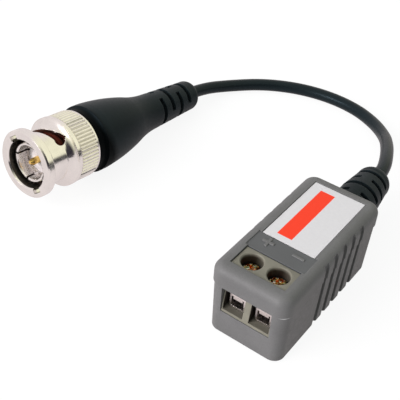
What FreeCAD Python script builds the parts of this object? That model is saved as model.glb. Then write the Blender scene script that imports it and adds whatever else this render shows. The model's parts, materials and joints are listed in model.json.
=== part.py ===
"""A passive video balun for a camera's twisted pair.

A small two-part plastic case holds a circuit board with a toroid transformer and a two-way screw
terminal with rising clamps. A thin coaxial lead leaves the back of the case through a moulded strain
relief, lies on the surface and ends in a bayonet coaxial plug with a moulded boot.

Millimetres. +X is to the right, +Y runs from the terminal to the lead, +Z is up. The origin is under
the middle of the case, on the surface that it stands on.
"""
import FreeCAD, Part
import Sketcher
import math
import os
import re

Vector = FreeCAD.Vector

# Driving sizes, in millimetres and degrees

SIZES = [
    ("body_length", 32.2, "case, front to back"),
    ("body_width", 15.0, "case, side to side"),
    ("body_height", 14.7, "case, over all"),
    ("seam_height", 10.75, "where the base meets the cover"),
    ("case_wall", 1.1, "wall of the base at its foot"),
    ("floor_wall", 1.2, "floor of the base"),
    ("roof_wall", 1.3, "roof of the cover"),
    ("draft_inset", 0.3, "how far the base's walls lean in at the foot"),
    ("cover_overhang", 0.15, "how far the cover stands out over the base"),
    ("corner_radius", 2.3, "upright corners of the case"),
    ("cavity_corner", 0.9, "upright corners inside the case"),
    ("top_round", 1.7, "rounded edge round the cover's top"),
    ("seam_chamfer", 0.12, "chamfer round the cover's lower edge"),
    ("foot_chamfer", 0.3, "chamfer round the foot"),
    ("snug_gap", 0.05, "gap between pieces that fit together"),
    ("loose_gap", 0.12, "gap round the terminal block in its window"),
    ("grip_count", 5, "grip grooves on each long side"),
    ("grip_pitch", 3.04, "from one grip groove to the next"),
    ("grip_middle", 2.3, "how far behind the middle of the case the grip is centred"),
    ("grip_width", 1.35, "width of a grip groove"),
    ("grip_rise", 1.2, "how far the grip grooves reach up into the rounded edge"),
    ("grip_depth", 0.45, "depth of a grip groove"),
    ("wire_window_width", 9.5, "window in the front wall"),
    ("window_drop", 9.45, "from the case's top down to the wire window's sill"),
    ("top_window_width", 10.4, "window over the screws"),
    ("top_window_depth", 5.15, "window over the screws, front to back"),
    ("screw_setback", 5.05, "from the case's front to the screws"),
    ("label_width", 10.0, "label"),
    ("label_length", 17.7, "label"),
    ("label_thickness", 0.2, "label"),
    ("label_setback", 12.0, "from the case's front to the label"),
    ("label_recess", 0.28, "depth of the label's recess"),
    ("label_margin", 0.12, "gap round the label in its recess"),
    ("strip_width", 11.3, "smooth strip with the polarity marks"),
    ("strip_recess", 0.14, "depth of the smooth strip"),
    ("mark_length", 2.2, "arm of the + and - marks"),
    ("mark_width", 0.5, "stroke of the + and - marks"),
    ("mark_setback", 10.4, "from the case's front to the marks"),
    ("mark_spread", 2.9, "from the middle line to each mark"),
    ("lip_wall", 0.6, "lip rails under the cover"),
    ("lip_depth", 1.1, "how far the lip rails reach into the base"),
    ("lip_end_gap", 3.6, "from the lip rails to the rear wall"),
    ("snap_length", 5.0, "snap ridges on the lip rails"),
    ("snap_height", 0.5, "snap ridges"),
    ("snap_proud", 0.25, "snap ridges"),
    ("post_radius", 0.9, "posts that hold the board down"),
    ("post_side_gap", 0.5, "from the posts to the side walls"),
    ("post_setback", 3.1, "from the board's back edge to the posts"),
    ("board_thickness", 1.2, "circuit board"),
    ("board_bottom", 3.1, "height of the board's underside"),
    ("board_back_gap", 1.9, "from the board's back edge to the rear wall"),
    ("ledge_width", 0.9, "ledges that carry the board"),
    ("pole_pitch", 5.08, "from one terminal pole to the next"),
    ("block_depth", 8.2, "terminal block, front to back"),
    ("shoulder_gap", 0.8, "between the terminal block's shoulder and the cover's roof"),
    ("block_sink", 0.3, "how far the block's top lies below the case's top"),
    ("pole_divider", 1.18, "wall between the two clamp chambers"),
    ("ceiling_gap", 0.3, "between the closed cage and the chamber's ceiling"),
    ("nose_floor", 0.45, "floor of the block's nose in the wire window"),
    ("nose_lean", 0.8, "how far the nose leans back at its top"),
    ("chamber_depth", 7.2, "clamp chamber, front to back"),
    ("driver_radius", 1.9, "screwdriver holes"),
    ("cage_width", 3.1, "clamp cage"),
    ("cage_sheet", 0.35, "clamp cage's sheet"),
    ("cage_depth", 5.9, "clamp cage, front to back"),
    ("cage_setback", 0.25, "from the block's front to the cage"),
    ("cage_rest_gap", 0.1, "under the open cage"),
    ("cage_thread_plate", 0.85, "top of the cage, which holds the thread"),
    ("cage_corner", 0.5, "outer fold of the cage"),
    ("clamp_travel", 1.35, "how far the cage rises"),
    ("bar_width", 1.8, "contact bar"),
    ("bar_thickness", 0.6, "contact bar"),
    ("bar_tail_width", 1.0, "contact bar's solder pin"),
    ("bar_tail_drop", 1.1, "how far the solder pin stands out under the board"),
    ("screw_radius", 1.25, "clamp screw's shank"),
    ("screw_head_radius", 1.75, "clamp screw's head"),
    ("screw_head_height", 1.2, "clamp screw's head"),
    ("screw_rise_gap", 0.75, "between the closed cage and the screw's head"),
    ("thread_gap", 0.05, "between the screw and the cage's thread"),
    ("driver_slot_width", 0.5, "slots in the screw's head"),
    ("driver_slot_depth", 0.6, "slots in the screw's head"),
    ("core_radius", 3.5, "ferrite toroid, outside"),
    ("core_bore", 1.7, "ferrite toroid, inside radius"),
    ("core_height", 3.4, "ferrite toroid"),
    ("core_gap", 1.95, "between the chip parts and the toroid"),
    ("winding_wire", 0.3, "winding wire"),
    ("winding_turns", 7, "turns in each winding"),
    ("winding_spread", 20.0, "angle from one turn to the next"),
    ("winding_gap", 0.03, "between a winding and the toroid"),
    ("chip_length", 2.0, "chip parts"),
    ("chip_width", 1.25, "chip parts"),
    ("chip_height", 0.8, "chip parts"),
    ("chip_gap", 0.8, "between the terminal block and the chip parts"),
    ("chip_spread", 3.0, "from the middle line to each chip part"),
    ("relief_height", 6.58, "height of the lead where it leaves the case"),
    ("relief_turn", 2.0, "how far the strain relief leans to the left, in degrees"),
    ("relief_length", 16.1, "strain relief outside the case"),
    ("relief_root", 4.1, "radius of the strain relief at the case"),
    ("relief_collar", 0.05, "how far the collar at the case stands out round it"),
    ("relief_end", 3.45, "radius of the strain relief before its rounded end"),
    ("relief_tip", 2.5, "radius of the flat at the strain relief's end"),
    ("relief_taper_start", 8.0, "where the strain relief starts to narrow"),
    ("relief_round", 2.1, "length of the strain relief's rounded end"),
    ("relief_neck", 3.0, "radius of the neck in the rear wall"),
    ("relief_flange", 4.0, "radius of the flange inside the rear wall"),
    ("relief_flange_depth", 1.4, "thickness of that flange"),
    ("relief_slot_pitch", 2.6, "from one ring of slots to the next"),
    ("relief_slot_first", 2.4, "first ring of slots, from the case"),
    ("relief_slot_width", 0.95, "slots"),
    ("relief_rings", 5, "rings of slots in the strain relief"),
    ("slot_depth", 1.0, "slots in the strain relief and the boot"),
    ("slot_sweep", 146.0, "angle that one slot covers"),
    ("cable_diameter", 2.8, "coaxial lead"),
    ("mould_gap", 0.02, "between moulded rubber and what it holds"),
    ("entry_length", 4.2, "lead inside the case, from the outside of the rear wall"),
    ("core_wire_radius", 0.55, "lead's insulated centre conductor"),
    ("wire_reach", 2.9, "how far the lead's two wires reach ahead of its end"),
    ("braid_radius", 0.3, "lead's twisted braid"),
    ("pad_radius", 0.9, "solder pads, at the board"),
    ("pad_top_radius", 0.6, "solder pads, at the top"),
    ("pad_height", 0.5, "solder pads"),
    ("plug_x", -50.78, "middle of the plug's tail end"),
    ("plug_y", 37.14, "middle of the plug's tail end"),
    ("plug_turn", 2.95, "how far the plug's tail points to the right of +Y, in degrees"),
    ("ring_radius", 6.86, "front ring of the coupling nut"),
    ("ring_depth", 1.8, "front ring of the coupling nut"),
    ("ring_chamfer", 0.3, "edges of the coupling nut"),
    ("nut_bore", 4.85, "radius of the coupling nut's bore"),
    ("nut_neck", 5.45, "radius of the nut's neck"),
    ("nut_flare_start", 6.0, "where the neck flares out to the rim"),
    ("nut_flare_end", 7.5, "where the flare ends"),
    ("grip_radius", 7.0, "radius of the nut's knurled grip"),
    ("rim_proud", 0.12, "how far the smooth rim ahead of the grip stands out"),
    ("knurl_start", 8.65, "where the knurl starts"),
    ("knurl_end", 12.95, "where the knurl ends"),
    ("knurl_groove", 0.3, "groove ahead of the knurl"),
    ("knurl_depth", 0.3, "depth of the knurl's flutes"),
    ("knurl_flutes", 60, "flutes in the knurl"),
    ("nut_length", 13.7, "coupling nut"),
    ("nut_chamber", 6.0, "radius of the nut's rear chamber"),
    ("nut_lip_front", 9.4, "front of the lip inside the nut"),
    ("nut_lip", 1.0, "thickness of that lip"),
    ("keyway_width", 2.0, "keyways and helical slots"),
    ("keyway_radius", 5.9, "how far out the keyways reach in the front ring"),
    ("slot_start", 3.95, "middle of the helical slot at its start"),
    ("slot_rise", 2.15, "how far the helical slot climbs"),
    ("slot_turn", 71.0, "angle that the helical slot turns through"),
    ("detent_radius", 1.05, "round end of the helical slot"),
    ("nut_roll", -128.5, "angle of the nut's keyways as it lies"),
    ("boot_roll", 9.0, "angle of the boot's slots as it lies"),
    ("slit_roll", 8.0, "angle of the outer contact's slits as it lies"),
    ("nut_travel", 0.8, "how far the nut can be pushed forward"),
    ("sleeve_front", 1.1, "front of the outer contact, behind the nut's front"),
    ("sleeve_radius", 4.05, "outer contact"),
    ("sleeve_wall", 0.6, "outer contact"),
    ("sleeve_slit", 0.45, "slits in the outer contact"),
    ("sleeve_slit_length", 4.8, "slits in the outer contact"),
    ("wave_room", 0.23, "left beside the flattened wave washer"),
    ("seat_depth", 0.9, "gasket's seat"),
    ("seat_radius", 4.7, "gasket's seat"),
    ("barrel_radius", 3.9, "barrel that the nut turns on"),
    ("barrel_gap", 0.08, "between the barrel and what turns on it"),
    ("collar_front", 13.9, "front of the collar that the boot grips"),
    ("collar_depth", 1.0, "that collar"),
    ("collar_radius", 5.2, "that collar"),
    ("shank_radius", 3.2, "body behind the collar"),
    ("shank_end", 17.5, "back of that shank"),
    ("crimp_radius", 2.0, "crimp tail"),
    ("crimp_end", 23.1, "back of the crimp tail"),
    ("insulator_front", 4.0, "front face of the insulator"),
    ("insulator_radius", 3.2, "insulator"),
    ("insulator_length", 8.2, "insulator"),
    ("insulator_nose", 1.9, "radius of the insulator's raised nose"),
    ("nose_height", 0.6, "that nose"),
    ("pin_radius", 0.68, "centre pin"),
    ("pin_front", 1.2, "tip of the centre pin"),
    ("pin_end", 13.5, "back of the centre pin"),
    ("gasket_depth", 0.8, "gasket"),
    ("ring_thickness", 0.45, "retaining ring"),
    ("ring_outer", 4.9, "radius of the retaining ring"),
    ("ring_groove", 3.42, "radius at the bottom of its groove"),
    ("ring_gap_width", 2.4, "opening of the retaining ring"),
    ("washer_thickness", 0.4, "thrust washer"),
    ("wave_thickness", 0.25, "wave washer's sheet"),
    ("wave_count", 3, "waves round the wave washer"),
    ("ferrule_wall", 0.7, "crimp ferrule"),
    ("ferrule_length", 5.4, "crimp ferrule"),
    ("boot_front", 13.85, "front of the boot"),
    ("boot_neck_radius", 6.5, "boot just behind the nut"),
    ("boot_neck_end", 15.0, "where the boot steps out to its shoulder"),
    ("boot_step", 0.7, "length of that step"),
    ("boot_shoulder", 7.1, "radius of the boot's shoulder"),
    ("boot_shoulder_end", 17.5, "where the boot starts to narrow"),
    ("boot_middle", 5.3, "radius half way down the boot"),
    ("boot_middle_at", 28.2, "where that is"),
    ("boot_convex", 52.0, "radius of the curve ahead of it"),
    ("boot_concave", 24.0, "radius of the curve behind it"),
    ("boot_waist", 4.02, "radius where the slotted tail starts"),
    ("boot_waist_at", 35.3, "where that is"),
    ("boot_tail", 3.4, "radius at the end of the tail"),
    ("boot_round", 2.0, "length of the tail's rounded end"),
    ("boot_tip", 2.3, "radius of the flat at the tail's end"),
    ("boot_end", 49.8, "end of the boot"),
    ("boot_slot_first", 36.85, "first ring of slots in the boot"),
    ("boot_slot_pitch", 2.92, "from one ring of slots to the next"),
    ("boot_slot_width", 1.15, "slots in the boot"),
    ("boot_rings", 4, "rings of slots in the boot"),
]

# Sizes that follow from the driving sizes

DERIVED = {
    "foot_width": "body_width - 2*cover_overhang - 2*draft_inset",
    "foot_length": "body_length - 2*cover_overhang - 2*draft_inset",
    "cavity_width": "foot_width - 2*case_wall",
    "cavity_length": "foot_length - 2*case_wall",
    "draft_angle": "atan(draft_inset/seam_height)",
    "roof_under": "body_height - roof_wall",
    "front": "-body_length/2",
    "back": "body_length/2",
    "screw_y": "front + screw_setback",
    "rim_radius": "grip_radius + rim_proud",
    "wire_window_floor": "body_height - window_drop",
    "board_top": "board_bottom + board_thickness",
    "board_front": "-cavity_length/2 + 2*snug_gap",
    "board_rear": "cavity_length/2 - board_back_gap",
    "block_front": "-cavity_length/2 + snug_gap",
    "block_back": "block_front + block_depth",
    "block_top": "body_height - block_sink",
    "block_shoulder": "roof_under - shoulder_gap",
    "nose_front": "-foot_length/2",
    "chamber_floor": "wire_window_floor + snug_gap + nose_floor",
    "chamber_ceiling": "cage_top + clamp_travel + ceiling_gap",
    "block_width": "2*pole_pitch",
    "chamber_width": "pole_pitch - pole_divider",
    "cage_front": "block_front + cage_setback",
    "cage_bottom": "chamber_floor + cage_rest_gap",
    "cage_top": "bar_top + snug_gap + cage_thread_plate",
    "bar_bottom": "cage_bottom + cage_sheet + clamp_travel + 2*snug_gap",
    "bar_top": "bar_bottom + bar_thickness",
    "bar_rear": "block_front + chamber_depth - 2*snug_gap",
    "pin_y": "bar_rear - bar_thickness/2",
    "screw_tip": "bar_top + mould_gap",
    "head_under": "cage_top + clamp_travel + screw_rise_gap",
    "relief_pocket": "relief_neck + snug_gap",
    "cable_radius": "cable_diameter/2",
    "chip_y": "block_back + chip_gap + chip_width/2",
    "core_y": "chip_y + chip_width/2 + core_gap + core_radius",
    "core_z": "board_top + winding_wire + winding_gap",
    "lip_back": "nut_lip_front + nut_lip",
    "washer_front": "nut_lip_front - mould_gap - washer_thickness",
    "washer_bore": "barrel_radius + barrel_gap",
    "sleeve_bore": "sleeve_radius - sleeve_wall",
    "seat_back": "washer_front - nut_travel - wave_thickness - wave_room",
    "seat_front": "seat_back - seat_depth",
    "ring_front": "lip_back + mould_gap",
}

# Control points of the lead between its two ends

LEAD_POINTS = [
    (-2.6, 41.6, 5.8),
    (-5.2, 47.7, 4.35),
    (-8.1, 52.9, 2.65),
    (-12.8, 57.5, 1.65),
    (-19.0, 60.3, 1.45),
    (-26.6, 60.8, 1.45),
    (-34.4, 59.0, 1.45),
    (-41.5, 55.0, 1.45),
    (-46.9, 49.3, 1.5),
]
LEAD_FIRST_RUN = 3.6
LEAD_LAST_RUN = 4.7

doc = FreeCAD.newDocument("video_balun")
sheet = doc.addObject("Spreadsheet::Sheet", "sizes")
for row, (name, value, note) in enumerate(SIZES, start=1):
    sheet.set(f"A{row}", name)
    sheet.set(f"B{row}", str(value))
    sheet.set(f"C{row}", note)
    sheet.setAlias(f"B{row}", name)
doc.recompute()

DRIVING = {name for name, value, note in SIZES}


def formula(text):
    """An expression on the sheet's cells, with the derived sizes written out."""
    def spell_out(match):
        word = match.group(0)
        if word in DERIVED:
            return f"({formula(DERIVED[word])})"
        if word in DRIVING:
            return f"sizes.{word}"
        return word
    return re.sub(r"[a-z_]+", spell_out, text)


def size(text):
    """The number that such an expression works out to."""
    result = sheet.evalExpression(formula(text))
    return float(getattr(result, "Value", result))


# Sketches and features

def new_body(label):
    """An empty body, whose label names its file."""
    body = doc.addObject("PartDesign::Body", label)
    body.Label = label
    return body


def origin_plane(body, role):
    """One of the body's own origin planes."""
    for feature in body.Origin.OriginFeatures:
        if feature.Role == role:
            return feature


def new_sketch(body, role="XY_Plane", x="0", y="0", z="0", turn=None):
    """A sketch on an origin plane, moved by x, y along the plane and z off it.

    A turn is one of the sketch's axes and the angle to turn it by, about that axis.
    """
    sketch = body.newObject("Sketcher::SketchObject", "outline")
    sketch.AttachmentSupport = [(origin_plane(body, role), "")]
    sketch.MapMode = "FlatFace"
    if turn:
        axis, angle = turn
        turned = FreeCAD.Rotation(Vector(*axis), size(angle))
        sketch.AttachmentOffset = FreeCAD.Placement(Vector(0, 0, 0), turned)
        sketch.setExpression("AttachmentOffset.Rotation.Angle", formula(angle))
    for axis, text in zip("xyz", (x, y, z)):
        sketch.setExpression(f"AttachmentOffset.Base.{axis}", formula(text))
    return sketch


def bind(sketch, kind, where, text):
    """One dimension of a sketch, bound to the sheet."""
    number = sketch.addConstraint(Sketcher.Constraint(kind, *where, size(text)))
    sketch.setExpression(f"Constraints[{number}]", formula(text))


def outline(sketch, points):
    """A closed outline. A point is x, y, or x, y, radius where an arc leads to it.

    The arc bulges to the right of the way from point to point, or to the left if its radius
    has a minus sign.
    """
    first = sketch.GeometryCount
    count = len(points)
    spots = [Vector(size(point[0]), size(point[1]), 0) for point in points]
    for index in range(count):
        start = spots[index - 1]
        end = spots[index]
        if len(points[index]) == 2:
            sketch.addGeometry(Part.LineSegment(start, end), False)
            continue
        sketch.addGeometry(arc_between(start, end, size(points[index][2])), False)
    for index in range(count):
        here = first + index
        following = first + (index + 1) % count
        end_here = end_of(sketch, here, spots[index])
        start_next = 3 - end_of(sketch, following, spots[(index + 1) % count])
        sketch.addConstraint(Sketcher.Constraint("Coincident", here, end_here, following, start_next))
    for index, point in enumerate(points):
        here = first + index
        place = (-1, 1, here, end_of(sketch, here, spots[index]))
        bind(sketch, "DistanceX", place, point[0])
        bind(sketch, "DistanceY", place, point[1])
        if len(point) == 3:
            bind(sketch, "Radius", (here,), f"abs({point[2]})")


def arc_between(start, end, radius):
    """The short arc between two points; a minus sign puts its centre to the right of the way."""
    half = (end - start).Length / 2
    left = Vector(0, 0, 1).cross(end - start).normalize()
    reach = math.sqrt(radius * radius - half * half)
    centre = (start + end) * 0.5 + left * math.copysign(reach, radius)
    first, last = (start, end) if radius > 0 else (end, start)
    first_angle = math.atan2(first.y - centre.y, first.x - centre.x)
    last_angle = math.atan2(last.y - centre.y, last.x - centre.x)
    if last_angle < first_angle:
        last_angle += 2 * math.pi
    whole = Part.Circle(centre, Vector(0, 0, 1), abs(radius))
    return Part.ArcOfCircle(whole, first_angle, last_angle)


def end_of(sketch, geometry, spot):
    """Which end of a line or arc of the sketch lies on a spot, as 1 or 2."""
    shape = sketch.Geometry[geometry]
    if (shape.StartPoint - spot).Length < (shape.EndPoint - spot).Length:
        return 1
    return 2


def rectangle(sketch, width, height, x="0", y="0"):
    """A rectangle round x, y."""
    left = f"({x}) - ({width})/2"
    right = f"({x}) + ({width})/2"
    low = f"({y}) - ({height})/2"
    high = f"({y}) + ({height})/2"
    outline(sketch, [(left, low), (right, low), (right, high), (left, high)])


def circle(sketch, radius, x="0", y="0"):
    """A circle round x, y."""
    middle = Vector(size(x), size(y), 0)
    number = sketch.addGeometry(Part.Circle(middle, Vector(0, 0, 1), size(radius)), False)
    bind(sketch, "DistanceX", (-1, 1, number, 3), x)
    bind(sketch, "DistanceY", (-1, 1, number, 3), y)
    bind(sketch, "Radius", (number,), radius)


def rounded_rectangle(sketch, width, height, radius):
    """A rectangle with round corners, centred on the sketch."""
    first = sketch.GeometryCount
    half_width = size(width) / 2
    half_height = size(height) / 2
    corner = size(radius)
    inner_x = half_width - corner
    inner_y = half_height - corner
    sides = [
        ((-inner_x, -half_height), (inner_x, -half_height)),
        ((half_width, -inner_y), (half_width, inner_y)),
        ((inner_x, half_height), (-inner_x, half_height)),
        ((-half_width, inner_y), (-half_width, -inner_y)),
    ]
    for start, end in sides:
        sketch.addGeometry(Part.LineSegment(Vector(*start, 0), Vector(*end, 0)), False)
    corners = [(inner_x, -inner_y), (inner_x, inner_y), (-inner_x, inner_y), (-inner_x, -inner_y)]
    for quarter, spot in enumerate(corners):
        round_corner = Part.Circle(Vector(*spot, 0), Vector(0, 0, 1), corner)
        start = (quarter - 1) * math.pi / 2
        sketch.addGeometry(Part.ArcOfCircle(round_corner, start, start + math.pi / 2), False)
    for quarter in range(4):
        side = first + quarter
        arc = first + 4 + quarter
        following = first + (quarter + 1) % 4
        sketch.addConstraint(Sketcher.Constraint("Tangent", side, 2, arc, 1))
        sketch.addConstraint(Sketcher.Constraint("Tangent", arc, 2, following, 1))
        level = "Horizontal" if quarter % 2 == 0 else "Vertical"
        sketch.addConstraint(Sketcher.Constraint(level, side))
    for quarter in (1, 2, 3):
        sketch.addConstraint(Sketcher.Constraint("Equal", first + 4, first + 4 + quarter))
    sketch.addConstraint(Sketcher.Constraint("Symmetric", first + 4, 3, first + 6, 3, -1, 1))
    bind(sketch, "Radius", (first + 4,), radius)
    bind(sketch, "DistanceX", (first + 3, 1, first + 1, 1), width)
    bind(sketch, "DistanceY", (first, 1, first + 2, 1), height)


def pad(body, sketch, length, back=False):
    """Adds the sketch's outline, along its normal or back from it."""
    feature = body.newObject("PartDesign::Pad", "pad")
    feature.Profile = sketch
    feature.Reversed = back
    feature.setExpression("Length", formula(length))
    doc.recompute()
    return feature


def pocket(body, sketch, depth, ahead=False):
    """Cuts the sketch's outline, back from its plane or ahead of it, and makes sure that it cut."""
    before = body.Shape.Volume
    feature = body.newObject("PartDesign::Pocket", "pocket")
    feature.Profile = sketch
    feature.Reversed = ahead
    feature.setExpression("Length", formula(depth))
    doc.recompute()
    expect_less(body, before)
    return feature


def expect_less(body, before):
    """Stops where a cut took nothing away."""
    if body.Shape.Volume >= before - 1e-6:
        raise RuntimeError(f"a cut in {body.Label} took nothing away")


def revolve(body, sketch):
    """Adds the sketch's outline turned about its upright axis."""
    feature = body.newObject("PartDesign::Revolution", "turned")
    feature.Profile = sketch
    feature.ReferenceAxis = (sketch, ["V_Axis"])
    feature.Angle = 360
    doc.recompute()
    return feature


def turned_body(label, points):
    """A body turned about its own Z axis, from radius and height pairs."""
    body = new_body(label)
    sketch = new_sketch(body, "XZ_Plane")
    outline(sketch, points)
    revolve(body, sketch)
    return body


def around(body, features, sketch, count, angle="360"):
    """Repeats features about the Z axis."""
    pattern = body.newObject("PartDesign::PolarPattern", "around")
    pattern.Originals = features
    pattern.Axis = (sketch, ["N_Axis"])
    pattern.setExpression("Angle", formula(angle))
    pattern.setExpression("Occurrences", formula(count))
    body.Tip = pattern
    doc.recompute()
    return pattern


def mirrored(body, features, role="YZ_Plane"):
    """Repeats features on the other side of an origin plane."""
    feature = body.newObject("PartDesign::Mirrored", "mirrored")
    feature.Originals = features
    feature.MirrorPlane = (origin_plane(body, role), [""])
    body.Tip = feature
    doc.recompute()
    return feature


def edges_at_height(shape, height, on_outside):
    """Names of the shape's edges that lie flat at a height, picked by their middle point."""
    names = []
    for number, edge in enumerate(shape.Edges, start=1):
        box = edge.BoundBox
        middle = edge.valueAt((edge.FirstParameter + edge.LastParameter) / 2)
        if abs(box.ZMin - height) < 1e-4 and abs(box.ZMax - height) < 1e-4 and on_outside(middle):
            names.append(f"Edge{number}")
    return names


def anywhere(middle):
    """Picks every edge."""
    return True


def chamfer(body, names, width):
    """A chamfer along named edges of the body so far."""
    base = body.Tip
    feature = body.newObject("PartDesign::Chamfer", "chamfer")
    feature.Base = (base, names)
    feature.setExpression("Size", formula(width))
    doc.recompute()
    return feature


def fillet(body, names, radius):
    """A fillet along named edges of the body so far."""
    base = body.Tip
    feature = body.newObject("PartDesign::Fillet", "fillet")
    feature.Base = (base, names)
    feature.setExpression("Radius", formula(radius))
    doc.recompute()
    return feature


def solid_piece(label, shape):
    """A piece whose shape is made directly."""
    piece = doc.addObject("Part::Feature", label)
    piece.Label = label
    piece.Shape = shape
    return piece


# Case

def grip_grooves(body, wall, low, high, turn=None):
    """Upright grooves in both long sides, cut square to a wall, which may lean out."""
    sketch = new_sketch(body, "YZ_Plane", z=f"{wall} + 1", turn=turn)
    height = f"({high}) - ({low})"
    middle_z = f"(({high}) + ({low}))/2"
    for groove in range(int(size("grip_count"))):
        groove_y = f"grip_middle + ({groove} - (grip_count - 1)/2)*grip_pitch"
        rectangle(sketch, "grip_width", height, groove_y, middle_z)
    grooves = pocket(body, sketch, "grip_depth + 1")
    mirrored(body, [grooves])


def make_lower_base():
    """The tub: leaning walls, ledges for the board, the wire window and the strain relief's slot."""
    body = new_body("lower_base")
    foot = new_sketch(body)
    rounded_rectangle(foot, "foot_width", "foot_length", "corner_radius - draft_inset")
    block = pad(body, foot, "seam_height")
    block.setExpression("TaperAngle", formula("draft_angle"))
    doc.recompute()
    chamfer(body, edges_at_height(body.Shape, 0, anywhere), "foot_chamfer")
    cavity = new_sketch(body, z="seam_height")
    rounded_rectangle(cavity, "cavity_width", "cavity_length", "cavity_corner")
    pocket(body, cavity, "seam_height - floor_wall")
    ledges = new_sketch(body, z="floor_wall")
    for side in ("-1", "1"):
        ledge_x = f"{side}*(cavity_width - ledge_width)/2"
        rectangle(ledges, "ledge_width", "board_rear - board_front", ledge_x, "(board_rear + board_front)/2")
    pad(body, ledges, "board_bottom - floor_wall")
    wall_reach = "1 + cover_overhang + draft_inset + case_wall + 4*snug_gap"
    window = new_sketch(body, "XZ_Plane", z="body_length/2 + 1")
    window_height = "seam_height + 1 - wire_window_floor"
    rectangle(window, "wire_window_width", window_height, "0", f"wire_window_floor + ({window_height})/2")
    pocket(body, window, wall_reach)
    hole = new_sketch(body, "XZ_Plane", z="-body_length/2 - 1")
    circle(hole, "relief_pocket", "0", "relief_height")
    pocket(body, hole, wall_reach, ahead=True)
    slot = new_sketch(body, "XZ_Plane", z="-body_length/2 - 1")
    slot_height = "seam_height + 1 - relief_height"
    rectangle(slot, "2*relief_pocket", slot_height, "0", f"relief_height + ({slot_height})/2")
    pocket(body, slot, wall_reach, ahead=True)
    catches = new_sketch(body, z="seam_height - lip_depth + 2*snug_gap")
    for side in ("-1", "1"):
        rectangle(catches, "2*(snap_proud + snug_gap)", "snap_length + 4*snug_gap", f"{side}*cavity_width/2")
    pocket(body, catches, "snap_height + 4*snug_gap", ahead=True)
    grip_grooves(body, "foot_width/2", "-1", "seam_height + 1", ((1, 0, 0), "draft_angle"))


def make_upper_cover():
    """The cover: bevelled top, screw window, label recess, marks, lip rails, posts and rear tongue."""
    body = new_body("upper_cover")
    rim = new_sketch(body, z="seam_height")
    rounded_rectangle(rim, "body_width", "body_length", "corner_radius")
    pad(body, rim, "body_height - seam_height")
    fillet(body, edges_at_height(body.Shape, size("body_height"), anywhere), "top_round")
    chamfer(body, edges_at_height(body.Shape, size("seam_height"), anywhere), "seam_chamfer")
    cavity = new_sketch(body, z="seam_height")
    rounded_rectangle(cavity, "cavity_width", "cavity_length", "cavity_corner")
    pocket(body, cavity, "roof_under - seam_height", ahead=True)
    lip = new_sketch(body, z="seam_height - lip_depth")
    lip_x = "cavity_width/2 - snug_gap - lip_wall/2"
    lip_front = "block_back + loose_gap"
    lip_back = "cavity_length/2 - lip_end_gap"
    for side in ("-1", "1"):
        lip_y = f"(({lip_front}) + ({lip_back}))/2"
        rectangle(lip, "lip_wall", f"({lip_back}) - ({lip_front})", f"{side}*({lip_x})", lip_y)
    pad(body, lip, "roof_under - seam_height + lip_depth + roof_wall/4")
    snaps = new_sketch(body, z="seam_height - lip_depth + 4*snug_gap")
    for side in ("-1", "1"):
        rectangle(snaps, "2*snap_proud", "snap_length", f"{side}*(cavity_width/2 - snug_gap)")
    pad(body, snaps, "snap_height")
    posts = new_sketch(body, z="board_top")
    for side in ("-1", "1"):
        post_x = f"{side}*(cavity_width/2 - post_side_gap - post_radius)"
        circle(posts, "post_radius", post_x, "board_rear - post_setback")
    pad(body, posts, "roof_under - board_top + roof_wall/4")
    tongue = new_sketch(body, z="relief_height + relief_neck/4")
    tongue_depth = "case_wall + draft_inset/2"
    rectangle(tongue, "2*relief_neck", tongue_depth, "0", f"cavity_length/2 + snug_gap + ({tongue_depth})/2")
    pad(body, tongue, "seam_height + roof_wall/4 - relief_height - relief_neck/4")
    saddle = new_sketch(body, "XZ_Plane", z="-body_length/2 - 1")
    circle(saddle, "relief_pocket", "0", "relief_height")
    pocket(body, saddle, "case_wall + 4", ahead=True)
    window = new_sketch(body, z="body_height + 1")
    rectangle(window, "top_window_width", "top_window_depth", "0", "screw_y")
    pocket(body, window, "roof_wall + 2")
    strip = new_sketch(body, z="body_height")
    strip_front = "screw_y + top_window_depth/2"
    strip_back = "front + label_setback"
    strip_depth = f"({strip_back}) - ({strip_front})"
    rectangle(strip, "strip_width", strip_depth, "0", f"(({strip_back}) + ({strip_front}))/2")
    pocket(body, strip, "strip_recess")
    recess = new_sketch(body, z="body_height")
    label_y = "front + label_setback + label_length/2"
    rectangle(recess, "label_width + 2*label_margin", "label_length + 2*label_margin", "0", label_y)
    pocket(body, recess, "label_recess")
    bars = new_sketch(body, z="body_height - strip_recess")
    mark_y = "front + mark_setback"
    for side in ("-1", "1"):
        rectangle(bars, "mark_length", "mark_width", f"{side}*mark_spread", mark_y)
    pad(body, bars, "strip_recess")
    upright = new_sketch(body, z="body_height - strip_recess")
    rectangle(upright, "mark_width", "mark_length", "-mark_spread", mark_y)
    pad(body, upright, "strip_recess")
    grip_grooves(body, "body_width/2", "seam_height - 1", "body_height - top_round + grip_rise")


def make_label():
    """The label: a plain plate in its recess."""
    body = new_body("label")
    plate = new_sketch(body, z="body_height - label_recess")
    rectangle(plate, "label_width", "label_length", "0", "front + label_setback + label_length/2")
    pad(body, plate, "label_thickness")


# Terminal

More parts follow.
